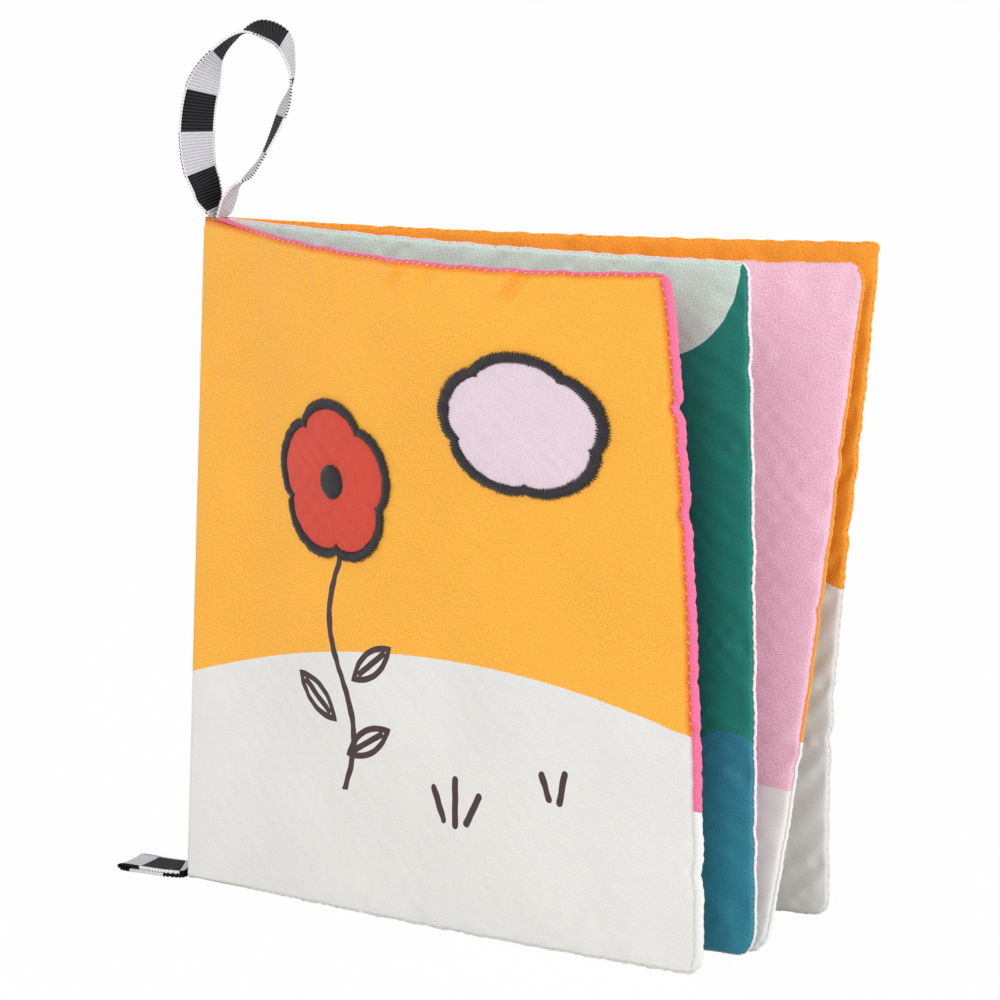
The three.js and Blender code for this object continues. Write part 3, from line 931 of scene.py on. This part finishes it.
def leaf_thickness(leaf, side, across, up):
    """Half of a leaf's thickness with its seam's groove, its dimples and its tucks."""
    edge = edge_distance(across, up)
    half = leaf_half(np.maximum(across, 0), up)
    if is_outside(leaf, side):
        dents = sum(depth * bell(up - spot, width) for spot, depth, width in spine_dents)
        fold = fold_radius - dents + leaf["swings"](up)
        half = mix(fold, half, smooth(across, -hinge_radius, fold_reach))
    half = half * np.sqrt(1 - (1 - np.clip(edge / edge_round, 0, 1)) ** 2)
    groove = bell(seam_distance(leaf, across, up), groove_half)
    half = half * (1 - groove_depth_share * groove)
    first, second, third, fourth = leaf["dimples"][side < 0]
    dimple = (first(across) * second(up) + third(across + up) + fourth(across - up)) / 3
    near = beside_spine(across) * smooth(edge, edge_round, crown_reach)
    half = half + dimple_height * dimple * near
    if leaf is cover and side > 0:
        tucked = half + tucks(across, up) * smooth(edge, 0, edge_round)
        half = np.maximum(tucked, np.minimum(half, least_tuck_half))
    return half


def three_edges(across, up):
    """For the fore, bottom and top edge: the place along it and the distance in from it."""
    return (up, page_reach - across), (across, up), (across, page_height - up)


def drawn_edges(leaf, across, up):
    """Places on the page after the seams have drawn the three sewn edges in."""
    clear = beside_spine(across)
    notches = sum(depth * bell(up - spot, notch_half_width) for spot, depth in leaf["notches"])
    least_pulls = (notches + edge_wave_height, edge_wave_height, 0)
    drawn = []
    for (place, distance), wave, least, depth in zip(
            three_edges(across, up), leaf["edges"], least_pulls, scallop_depths):
        pull = (wave(place) * clear + least) * (1 - smooth(distance, 0, edge_fade))
        dip = 1 - np.abs(np.sin(np.pi * (place + wave(place)) / stitch_pitch))
        drawn.append(pull + depth * clear * dip * (1 - smooth(distance, 0, scallop_reach)))
    round_across, round_up = rounded(leaf, across, up)
    return round_across - drawn[0], round_up + drawn[1] - drawn[2]


def turned_cloth(leaf, side, across, up, round_up, half):
    """A cover's cloth beyond its spine edge, where it goes on round the spine."""
    turned = np.maximum(-hinge_radius - across, 0) / fold_radius
    share = smooth(turned / math.radians(fold_turn), 0, 1)
    up_share = up / page_height
    root = mix(leaf["bottom"][0], leaf["top"][0], up_share) + leaf["bend"] * hump(up_share)
    bearing = root + side * (90 + np.degrees(turned))
    still = np.zeros_like(up)
    middle_line = leaf_place(leaf, still - hinge_radius, round_up, still)
    centre = mix(middle_line, np.stack([still, still, round_up], -1), share[..., None])
    return centre + mix(half, wrap_radius - fold_tuck, share)[..., None] * way_to(bearing)


def leaf_surface(leaf, side, across, up, lift=0):
    """The cloth of one side of a leaf, raised on its page by a lift."""
    across, up = np.broadcast_arrays(np.asarray(across, float), np.asarray(up, float))
    seam = seam_distance(leaf, across, up)
    half = leaf_thickness(leaf, side, across, up)
    puckers, middle = 0, 0
    for (place, distance), ripple, slope, wave in zip(
            three_edges(across, up), leaf["ripples"][side < 0], leaf["slopes"], leaf["edges"]):
        near = smooth(seam, 0, pucker_rise) * (1 - smooth(distance, pucker_rise, pucker_reach))
        puckers = puckers + near * ripple(place + slope * distance)
        sway = wave(middle_wave_share * place)
        middle = middle + sway * (1 - smooth(distance, 0, pucker_reach))
    clear = beside_spine(across)
    out = side * (half + lift + puckers * clear) + middle * clear
    round_across, round_up = drawn_edges(leaf, across, up)
    points = leaf_place(leaf, np.maximum(round_across, -hinge_radius), round_up, out)
    if is_outside(leaf, side):
        folded = turned_cloth(leaf, side, across, up, round_up, half)
        points = np.where((across < -hinge_radius)[..., None], folded, points)
    if side in leaf["slack"]:
        points = points + slack_at(leaf["slack"][side], across, up)
    points[..., 2] = np.maximum(points[..., 2], 0)
    return points


def slack_at(field, across, up):
    """Reads a lattice of settled offsets at places on the page."""
    rows, columns = field.shape[:2]
    column = np.clip(across / page_reach, 0, 1) * (columns - 1)
    row = np.clip(up / page_height, 0, 1) * (rows - 1)
    left = np.minimum(column.astype(int), columns - 2)
    low = np.minimum(row.astype(int), rows - 2)
    over = smooth(column - left, 0, 1)[..., None]
    rise = smooth(row - low, 0, 1)[..., None]
    lower = mix(field[low, left], field[low, left + 1], over)
    upper = mix(field[low + 1, left], field[low + 1, left + 1], over)
    return mix(lower, upper, rise)


def settle(leaf, side):
    """Settles one side's cloth on its wadding with the cloth simulation, as offsets in mm."""
    across = np.linspace(0, page_reach, settle_cells + 1)
    up = np.linspace(0, page_height, settle_cells + 1)
    grid_across, grid_up = np.meshgrid(across, up)
    start = leaf_surface(leaf, side, grid_across, grid_up)
    faces = grid_faces(len(up), len(across), flip=side < 0)
    piece = add_piece("settling_cloth", start, faces, [])
    distance = np.minimum(edge_distance(grid_across, grid_up), grid_across / 2).ravel()
    sewn = distance < page_reach / settle_cells
    holds = np.where(sewn, 1, wadding_hold)
    gathers = 1 - smooth(distance, 0, gather_reach)
    for name, weights in (("held", holds), ("gathered", gathers)):
        group = piece.vertex_groups.new(name=name)
        for index, weight in enumerate(weights):
            group.add([index], float(weight), "REPLACE")
    cloth = piece.modifiers.new("cloth", "CLOTH")
    rules = cloth.settings
    rules.quality = settle_quality
    rules.mass = settle_mass
    rules.tension_stiffness = rules.compression_stiffness = cloth_stretch
    rules.shear_stiffness = cloth_shear
    rules.bending_stiffness = cloth_bend
    rules.vertex_group_mass = "held"
    rules.pin_stiffness = wadding_stiffness
    rules.vertex_group_shrink = "gathered"
    rules.shrink_min = -spare_cloth_share
    rules.shrink_max = -gathered_cloth_share
    rules.use_pressure = True
    rules.uniform_pressure_force = wadding_pressure
    rules.effector_weights.gravity = 0
    cloth.collision_settings.use_collision = False
    cloth.point_cache.frame_end = settle_frames
    for step in range(1, settle_frames + 1):
        bpy.context.scene.frame_set(step)
    settled = piece.evaluated_get(bpy.context.evaluated_depsgraph_get()).data
    points = np.empty(start.size)
    settled.vertices.foreach_get("co", points)
    offsets = points.reshape(start.shape) / millimetre - spine_axis - start
    sizes = np.linalg.norm(offsets, axis=-1, keepdims=True)
    mesh = piece.data
    bpy.data.objects.remove(piece)
    bpy.data.meshes.remove(mesh)
    bpy.context.scene.frame_set(1)
    return offsets * slack_limit / np.maximum(sizes, slack_limit)


def lines_at(rim):
    """Distances in from a sewn edge of the lattice lines along it."""
    near = [rim + step for step in groove_lines if rim + step > edge_lines[0] / 2]
    away = [line for line in edge_lines if abs(line - rim) > groove_room]
    return np.array(sorted([0, *near, *away]))


def leaf_lines(leaf, side):
    """The lattice lines of a leaf across and up, crowded along its sewn edges."""
    fore, bottom, top = (lines_at(rim) for rim in leaf["rims"])
    start = -root_overlap
    if is_outside(leaf, side):
        start = -hinge_radius - fold_radius * math.radians(fold_turn)
    count = math.ceil((page_reach - fore[-1]) / mesh_step)
    inside = np.linspace(0, page_reach - fore[-1], count + 1)
    beyond = np.linspace(start, 0, math.ceil(-start / mesh_step) + 1)[:-1]
    across = np.concatenate([beyond, inside, page_reach - fore[-2::-1]])
    count = math.ceil((page_height - bottom[-1] - top[-1]) / mesh_step)
    middle = np.linspace(bottom[-1], page_height - top[-1], count + 1)
    up = np.concatenate([bottom[:-1], middle, page_height - top[-2::-1]])
    return across, up


def leaf_side(leaf, side):
    """The lattice of one side's points, and their places on the page and beside the seam."""
    across, up = np.meshgrid(*leaf_lines(leaf, side))
    places = np.stack([across, up, seam_distance(leaf, across, up)], -1)
    return leaf_surface(leaf, side, across, up), places


def cell_value(grid):
    return (grid[:-1, :-1] + grid[1:, :-1] + grid[:-1, 1:] + grid[1:, 1:]) / 4


def add_leaf(name, leaf):
    """The two cloths of one leaf: the back cloth turns over the edge up to the seam's groove."""
    (front, front_places), (back, back_places) = (leaf_side(leaf, side) for side in (1, -1))
    across, _, beside_seam = (cell_value(front_places[..., part]) for part in range(3))
    in_rim = (beside_seam < 0) & (across > 0)
    rows, columns = front.shape[:2]
    rim_faces = grid_faces(rows, columns, in_rim)
    back_faces = grid_faces(*back.shape[:2], flip=True) + rows * columns
    points = np.concatenate([front.reshape(-1, 3), back.reshape(-1, 3)])
    places = np.concatenate([front_places.reshape(-1, 3), back_places.reshape(-1, 3)])
    pieces = []
    for word, faces in (
            ("front", grid_faces(rows, columns, ~in_rim)),
            ("back", np.concatenate([rim_faces, back_faces]))):
        used_points, used_places, used_faces = used_only(points, places, faces)
        finishes = [cloths[f"{name}_{word}"]]
        pieces.append(add_piece(
            f"{name}_{word}_side", used_points, used_faces, finishes, used_places))
    return pieces


def stitches_along(name, leaf, side, finish):
    """Short seam stitches in the groove beside the rim, round the three sewn edges."""
    fore, bottom, top = leaf["rims"]
    level_run = np.arange(stitch_start, page_reach - fore, route_step)
    up_run = np.arange(bottom, page_height - top, route_step)
    counts = [len(level_run), len(up_run), len(level_run)]
    across = np.concatenate([level_run, np.full(counts[1], page_reach - fore), level_run[::-1]])
    up = np.concatenate([
        np.full(counts[0], bottom), up_run, np.full(counts[0], page_height - top)])
    route = leaf_surface(leaf, side, across, up, stitch_radius if leaf is cover else 0)
    raised = leaf_surface(leaf, side, across, up, 1) - route
    travelled = distances_along(route)
    middles = np.arange(stitch_pitch, travelled[-1] - stitch_pitch, stitch_pitch)

    def at(distance, grid):
        return np.stack([np.interp(distance, travelled, column) for column in grid.T], -1)

    chance = np.random.default_rng(stitch_seed)
    middles = middles + chance.uniform(-stitch_swing, stitch_swing, len(middles))
    half = stitch_length / 2 * chance.uniform(*stitch_length_shares, len(middles))
    starts, ends = at(middles - half, route), at(middles + half, route)
    lifted = unit(at(middles, raised))
    aside = np.cross(unit(ends - starts), lifted)
    rims = np.repeat([bottom, fore, top], counts)
    slant = aside * np.minimum(at(middles, rims[:, None]), stitch_slant) / 2
    starts, ends = starts + slant, ends - slant
    stations = [
        mix(starts, ends, share) + lifted * stitch_dip * height
        for share, height, _ in stitch_shares]
    radii = [share * stitch_radius for *_, share in stitch_shares]
    places = at(middles, np.stack([across, up, np.zeros_like(up)], -1))
    return add_threads(name, stations, aside, lifted, radii, finish, places)


def add_threads(name, stations, aside, lifted, radii, finish, places=None):
    """Many short closed threads at once, each through the same number of stations."""
    turns = np.arange(thread_sides) / thread_sides * 2 * np.pi
    ring = (
        np.cos(turns)[None, :, None] * aside[:, None]
        + np.sin(turns)[None, :, None] * lifted[:, None])
    points = np.stack([
        station[:, None] + radius * ring for station, radius in zip(stations, radii)], 1)
    count, levels = points.shape[:2]
    body = grid_faces(levels, thread_sides, closed=True)
    starts = np.arange(count)[:, None, None] * levels * thread_sides
    faces = (body[None] + starts).reshape(-1, 4).tolist()
    for start in starts.ravel():
        faces += end_faces(levels, thread_sides, start)
    if places is not None:
        places = np.repeat(places, levels * thread_sides, axis=0)
    return add_piece(name, points, faces, [finish], places)


slots = {
    "front_cover": ("orange_cloth", "hot_pink_cloth"),
    "second_leaf": ("teal_cloth", "pale_pink_cloth"),
    "third_leaf": ("pink_cloth", "deep_orange_cloth"),
    "back_cover": ("deep_orange_cloth", "orange_cloth"),
}
sides = {
    "front_cover": ("outer", "inner"), "second_leaf": ("front", "back"),
    "third_leaf": ("front", "back"), "back_cover": ("inner", "outer"),
}

for name, leaf in leaves.items():
    leaf["slack"] = {side: settle(leaf, side) for side in (1, -1)}
    pair = add_leaf(name, leaf)
    for piece, side_name, slot in zip(pair, sides[name], slots[name]):
        enter(piece, name, slot, f"{name}_{side_name}_cloth")
    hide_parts(name + "_padding")
    # The cover's thread is pale, and each other thread has its cloth's colour
    for side, word in ((1, "front"), (-1, "back")):
        finish = pale_thread if leaf is cover else cloths[f"{name}_{word}"]
        threads = stitches_along(f"{name}_{word}_stitches", leaf, side, finish)
        enter(threads, name, "thread", name + "_seam_thread")


# Spine

def spine_profile(height):
    """The spine cloth's radius along its height, drawn in at its two hems."""
    ends = np.minimum(height - spine_foot, spine_head - height)
    rise = np.sqrt(1 - (1 - np.clip(ends / hem_height, 0, 1)) ** 2)
    return wrap_radius * mix(hem_radius_share, 1, rise)


def spine_strip(name, bearings, radius, finish):
    """A strip round the spine from one bearing to another, with a hem at its foot and head."""
    hems = hem_height * np.array(hem_shares)
    heights = np.concatenate([
        spine_foot + hems,
        np.linspace(spine_foot + hem_height, spine_head - hem_height, spine_rows),
        spine_head - hems[::-1]])
    count = max(least_turns, int(abs(bearings[1] - bearings[0]) / spine_turn_step))
    grid_turn, grid_height = np.meshgrid(np.linspace(*bearings, count), heights)
    radii = spine_profile(grid_height) * radius / wrap_radius
    points = way_to(grid_turn) * radii[..., None]
    points[..., 2] = grid_height
    across = np.radians(grid_turn) * wrap_radius
    places = np.stack([-across, grid_height, np.zeros_like(across)], -1)
    faces = grid_faces(*grid_turn.shape, flip=bearings[1] < bearings[0])
    return add_piece(name, points, faces, [finish], places)


def add_strip(name, bearings, radius, finish, slot, node):
    """A strip round the spine from one bearing to another."""
    strip = spine_strip(name, bearings, radius, finish)
    start, end = (
        Vector((way_to(bearing) * radius + spine_axis) * millimetre) for bearing in bearings)
    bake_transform(strip)
    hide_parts(node)


# Strips behind the spine, each with its two leaves and its bearings, and strips between the
# leaves, each with the cloth that it goes on from
spine_parts = (
    ("spine_back_cloth", ("third_leaf", "back_cover"), (200, 300)),
    ("spine_middle_cloth", ("third_leaf", "second_leaf"), (200, 152)),
    ("spine_front_cloth", ("second_leaf", "front_cover"), (152, 96)),
)
gutters = (
    ("front_gutter", ("second_leaf", "front_cover"), "front_cover_back", "hot_pink_cloth"),
    ("middle_gutter", ("third_leaf", "second_leaf"), "second_leaf_back", "pale_pink_cloth"),
    ("back_gutter", ("third_leaf", "back_cover"), "third_leaf_back", "deep_orange_cloth"),
)
for name, pair, bearings in spine_parts:
    add_strip(name, bearings, wrap_radius, spine_cloth, "orange_cloth", "spine_outer_cloth")
for name, pair, side, slot in gutters:
    bearings = [leaves[leaf]["root"] for leaf in pair]
    add_strip(name, bearings, gutter_radius, cloths[side], slot, "spine_stitching")


def add_core():
    """The bundle of raw seam edges inside the spine, folded like pressed layers."""
    heights = np.linspace(core_bottom, core_top, core_rows)
    turns = np.linspace(0, 2 * np.pi, core_spokes, endpoint=False)
    grid_turn, grid_height = np.meshgrid(turns, heights)
    folds = np.abs(np.cos(grid_turn * core_folds / 2 + grid_height / core_twist))
    radius = core_radius * mix(1 - core_fold_share, 1, folds)
    radius[-1] *= core_end_share
    points = np.stack([radius * np.cos(grid_turn), radius * np.sin(grid_turn), grid_height], -1)
    faces = grid_faces(core_rows, core_spokes, closed=True).tolist()
    faces += end_faces(core_rows, core_spokes)
    return add_piece("spine_seam_bundle", points, faces, [seam_bundle])


enter(add_core(), "third_leaf", "seam_core", "spine_core")


# Ribbons

def route_through(stations, shares):
    """A centripetal spline through stations, at shares of the whole run of stations."""
    stations = np.asarray(stations, float)
    ends = 2 * stations[0] - stations[1], 2 * stations[-1] - stations[-2]
    kept = np.concatenate([[ends[0]], stations, [ends[1]]])
    last = len(stations) - 1
    points = []
    for share in shares * last:
        index = min(int(share), last - 1)
        a, b, c, d = kept[index:index + 4]
        before, between, after = (math.sqrt(np.linalg.norm(gap)) for gap in (b - a, c - b, d - c))
        between = between or 1
        before, after = before or between, after or between
        place = (share - index) * between
        ab, bc, cd = (
            mix(a, b, (place + before) / before), mix(b, c, place / between),
            mix(c, d, (place - between) / after))
        abc = mix(ab, bc, (place + before) / (before + between))
        bcd = mix(bc, cd, place / (between + after))
        points.append(mix(abc, bcd, place / between))
    return np.array(points)


def add_ribbon(name, ribbon, stations):
    """A flat woven band with ribs across and beaded selvedges."""
    middles, ways, widths = zip(*stations)
    rough = np.linspace(0, 1, route_count)
    travelled = distances_along(route_through(middles, rough))
    count = int(travelled[-1] / ring_step)
    along_places = np.linspace(0, travelled[-1], count + 1)
    shares = np.interp(along_places, travelled, rough)
    centre = route_through(middles, shares)
    along = unit(np.gradient(centre, axis=0))
    across = route_through(ways, shares)
    across = unit(across - (across * along).sum(-1, keepdims=True) * along)
    out = unit(np.cross(along, across))
    width = np.interp(shares * (len(widths) - 1), np.arange(len(widths)), widths)
    sideways = np.array(column_shares)
    in_selvedge = np.abs(sideways) > selvedge_share
    thick = np.where(in_selvedge, ribbon["thick"], body_thick_share) * ribbon_half
    thick[[0, -1]] *= edge_thick_share
    rib = 1 - rib_depth / ribbon_half * np.sin(np.pi * along_places / rib_pitch) ** 2
    bead = np.abs(np.cos(np.pi * along_places / bead_pitch))
    half = width / 2 - ribbon["bulge"] * (1 - bead)
    relief = np.where(in_selvedge, mix(thin_share, 1, bead)[:, None], rib[:, None])
    middle = centre[:, None] + across[:, None] * (half[:, None] * sideways)[..., None]
    lifted = out[:, None] * (thick * relief)[..., None]
    points = np.concatenate([middle + lifted, (middle - lifted)[:, ::-1]], 1)
    points[..., 2] = np.maximum(points[..., 2], 0)
    rows, columns = points.shape[:2]
    along_grid = np.repeat(along_places[:, None] + ribbon["stripe_start"], columns, 1)
    scaled = sideways * ribbon_width / 2
    aside_grid = np.broadcast_to(np.concatenate([scaled, scaled[::-1]]), along_grid.shape)
    places = np.stack([along_grid, aside_grid, np.zeros_like(along_grid)], -1)
    turned = np.tile(np.arange(columns) >= len(sideways) - 1, rows - 1)
    faces = grid_faces(rows, columns, closed=True).tolist() + end_faces(rows, columns)
    return add_piece(
        name, points, [face[::-1] for face in faces], ribbon["finishes"], places,
        np.concatenate([turned, [0, 0]]))


gutter_bearing = front_root_bearing - 1.5 * root_spacing    # between second and third leaf


def top_loop():
    def sewn_end(side, height):
        middle = way_to(gutter_bearing) * side * sewn_gap / 2
        return (*middle[:2], height), tuple(way_to(gutter_bearing - 90)), sewn_width

    free = [
        ((x * loop_rise, y * loop_rise, page_height + z * loop_rise),
         (across_x, across_y, across_z), share * ribbon_width)
        for x, y, z, across_x, across_y, across_z, share in loop_shares]
    stations = [
        sewn_end(-1, core_top + loop_seat), sewn_end(-1, page_height), *free,
        sewn_end(1, page_height), sewn_end(1, core_top + loop_seat)]
    return add_ribbon("top_loop_ribbon", top_ribbon, stations)


def bottom_loop():
    away = way_to(tab_bearing)
    level = np.array((away[1], -away[0], 0))
    tilt = math.radians(tab_tilt)
    tilted = level * math.cos(tilt) + np.array((0, 0, math.sin(tilt)))
    lying = ribbon_width / 2 * math.sin(tilt) + ribbon_half + floor_gap

    def sewn_end(layer, height):
        return (*(away * layer * tab_layer_step)[:2], height), level, sewn_width

    free = [
        (tuple(away * reach * tab_length - level * aside * ribbon_width
               + np.array((0, 0, lying + layer * tab_layer_step))),
         tilted, width * ribbon_width)
        for reach, layer, width, aside in tab_shares]
    top = core_bottom - clearance
    stations = [
        sewn_end(-1, top), sewn_end(-1, tab_neck_height), *free,
        sewn_end(tab_upper_layer, tab_neck_height + tab_layer_step),
        sewn_end(tab_upper_layer, top)]
    return add_ribbon("bottom_loop_ribbon", bottom_ribbon, stations)


enter(top_loop(), "top_loop", "striped_ribbon", "top_ribbon_loop")
enter(bottom_loop(), "bottom_loop", "striped_ribbon", "bottom_ribbon_loop")


# Patches

def outline(shape, reach, turns):
    """The scalloped edge of a patch, as places round its middle."""
    bulge = np.sqrt(np.abs(np.cos(turns * shape["lobes"] / 2)))
    distance = reach * (1 - shape["scallop"] * (1 - bulge))
    return distance * np.sin(turns) * shape["stretch"], distance * np.cos(turns)


def on_cover(shape, across, up, lift):
    return leaf_surface(cover, 1, shape["across"] + across, shape["up"] + up, lift)


def add_patch(name, shape, finish):
    """A soft patch, plump in its middle and pressed down at its stitched edge."""
    turns = np.linspace(0, 2 * np.pi, patch_spokes, endpoint=False)
    rings = np.linspace(first_ring_share, 1, patch_rings)
    across, up = outline(shape, shape["reach"] + border_width / 3, turns)
    plump = patch_dome * np.sqrt(1 - rings ** 4)
    rumple = waves(np.random.default_rng(rumple_seed), rumple_run, rumple_height)
    lifts = [
        patch_lift + height + rumple(across * ring + rumple_slant * up * ring)
        for ring, height in zip(rings, plump)]
    levels = [*zip(rings, lifts), *((ring, patch_under) for ring in rings[::-1])]
    points = np.stack([on_cover(shape, across * ring, up * ring, lift) for ring, lift in levels])
    places = np.stack([np.stack([across * ring, up * ring, up * 0], -1) for ring, _ in levels])
    faces = grid_faces(len(levels), patch_spokes, closed=True).tolist()
    faces += end_faces(len(levels), patch_spokes)
    return add_piece(name, points, faces, [finish], places)


def add_satin(name, shape, starts, ends, base, thread_shares):
    """Satin threads laid over the cover from their starts to their ends."""
    stations = [
        on_cover(shape, mix(starts[0], ends[0], share), mix(starts[1], ends[1], share),
                 base + height * border_height)
        for share, height, _ in thread_shares]
    lifted = unit(on_cover(shape, *starts, 1) - on_cover(shape, *starts, 0))
    aside = np.cross(unit(stations[-1] - stations[0]), lifted)
    radii = [share * thread_radius for *_, share in thread_shares]
    return add_threads(name, stations, aside, lifted, radii, satin_thread)


def add_satin_border(name, shape):
    """A band of satin stitches round a patch, each thread laid across the band."""
    fine = np.linspace(0, 2 * np.pi, outline_count)
    start = shape["reach"] + clearance
    travelled = distances_along(np.stack(outline(shape, start + border_width / 2, fine), -1))
    count = int(travelled[-1] / thread_pitch)
    turns = np.interp(np.linspace(0, travelled[-1], count + 1)[:-1], travelled, fine)
    chance = np.random.default_rng(border_seed)
    odd = np.arange(count) % 2
    inner_step, outer_step = border_steps
    inner_jitter, outer_jitter = border_jitters
    inner_reach = start - odd * inner_step - chance.uniform(0, inner_jitter, count)
    outer_reach = start + border_width + odd * outer_step
    outer_reach = outer_reach + chance.uniform(-outer_jitter, outer_jitter, count)
    lean = thread_lean / 2 / shape["reach"]
    inner = outline(shape, inner_reach, turns - lean)
    outer = outline(shape, outer_reach, turns + lean)
    return add_satin(name, shape, inner, outer, patch_lift, border_shares)


def add_heart(name):
    """The flower's heart: threads laid side by side over a disc."""
    rows = np.arange(-flower_heart_reach, flower_heart_reach, thread_pitch) + thread_pitch / 2
    chance = np.random.default_rng(heart_seed)
    reach = np.sqrt(flower_heart_reach ** 2 - rows ** 2)
    reach = reach + chance.uniform(*heart_jitter, len(rows))
    return add_satin(
        name, flower, (-reach, rows), (reach, rows + heart_lean), patch_lift + patch_dome,
        heart_shares)


for name, shape, finish, slot in (
        ("flower", flower, red_patch, "red_patch"), ("cloud", cloud, pale_patch, "pale_patch")):
    patch = add_patch(name + "_sewn_patch", shape, finish)
    enter(patch, "front_cover", slot, name + "_patch")
    border = add_satin_border(name + "_satin_border", shape)
    enter(border, "front_cover", "dark_stitching", name + "_stitched_border")
heart = add_heart("flower_satin_heart")
enter(heart, "front_cover", "dark_stitching", "flower_heart_stitching")


# Floor, light and camera, in metres, degrees and watts
floor_side = 18
floor_glow_share = 0.965  # of pure white, where the camera looks
world_strength = 0.78
camera_target = (0.001344, 0.017076, 0.11077)
camera_distance = 1.7
camera_pitch = 6.96
camera_roll = 1.8
lens = 232.3              # millimetres, as is the sensor
sensor = 36
sight_reach = 30

# Where each softbox stands, what it faces, its side and its power
softboxes = {
    "key": ((-0.45, -2, 0.9), (0, 0, 0.1), 0.8, 11),
    "side": ((2, -0.9, 0.4), (0, 0, 0.08), 0.9, 15),
}


def add_floor():
    finish = Finish("white_floor")
    shader = finish.node("ShaderNodeBsdfDiffuse", {}, {"Color": floor_grey})
    glow = finish.node("ShaderNodeEmission", {}, {"Color": white_light, "Strength": 1})
    share = finish.looked_at() * floor_glow_share
    mixed = finish.node("ShaderNodeMixShader", {}, {0: share, 1: shader, 2: glow})
    finish.node("ShaderNodeOutputMaterial", {}, {"Surface": mixed})
    mesh = bpy.data.meshes.new("floor")
    far = floor_side / 2
    mesh.from_pydata(
        [(-far, -far, 0), (far, -far, 0), (far, far, 0), (-far, far, 0)], [], [(0, 1, 2, 3)])
    mesh.materials.append(finish.material)
    new_object("floor", mesh)


def add_world():
    """White where the camera looks, and an even plain light on the book."""
    studio = Finish("studio", world=True)
    plain, white = (
        studio.node("ShaderNodeBackground", {}, {"Color": white_light, "Strength": strength})
        for strength in (world_strength, 1))
    mixed = studio.node("ShaderNodeMixShader", {}, {0: studio.looked_at(), 1: plain, 2: white})
    studio.node("ShaderNodeOutputWorld", {}, {"Surface": mixed})
    bpy.context.scene.world = studio.material


def add_softbox(name, place, aim, side, power):
    lamp = bpy.data.lights.new(name, "AREA")
    lamp.shape = "RECTANGLE"
    lamp.size = lamp.size_y = side
    lamp.energy = power
    box = new_object(name, lamp)
    box.location = place
    box.rotation_euler = (Vector(aim) - Vector(place)).to_track_quat("-Z", "Y").to_euler()


def add_camera():
    eye = bpy.data.cameras.new("camera")
    eye.lens = lens
    eye.sensor_width = sensor
    eye.clip_end = sight_reach
    camera = new_object("camera", eye)
    pitch, roll = math.radians(camera_pitch), math.radians(camera_roll)
    turn = Matrix.Rotation(math.pi / 2 - pitch, 4, "X") @ Matrix.Rotation(roll, 4, "Z")
    back = Vector((0, -math.cos(pitch), math.sin(pitch))) * camera_distance
    camera.matrix_world = Matrix.Translation(Vector(camera_target) + back) @ turn
    bpy.context.scene.camera = camera


add_floor()
add_world()
for name, softbox in softboxes.items():
    add_softbox(name, *softbox)
add_camera()
bpy.context.scene.view_settings.view_transform = "Standard"
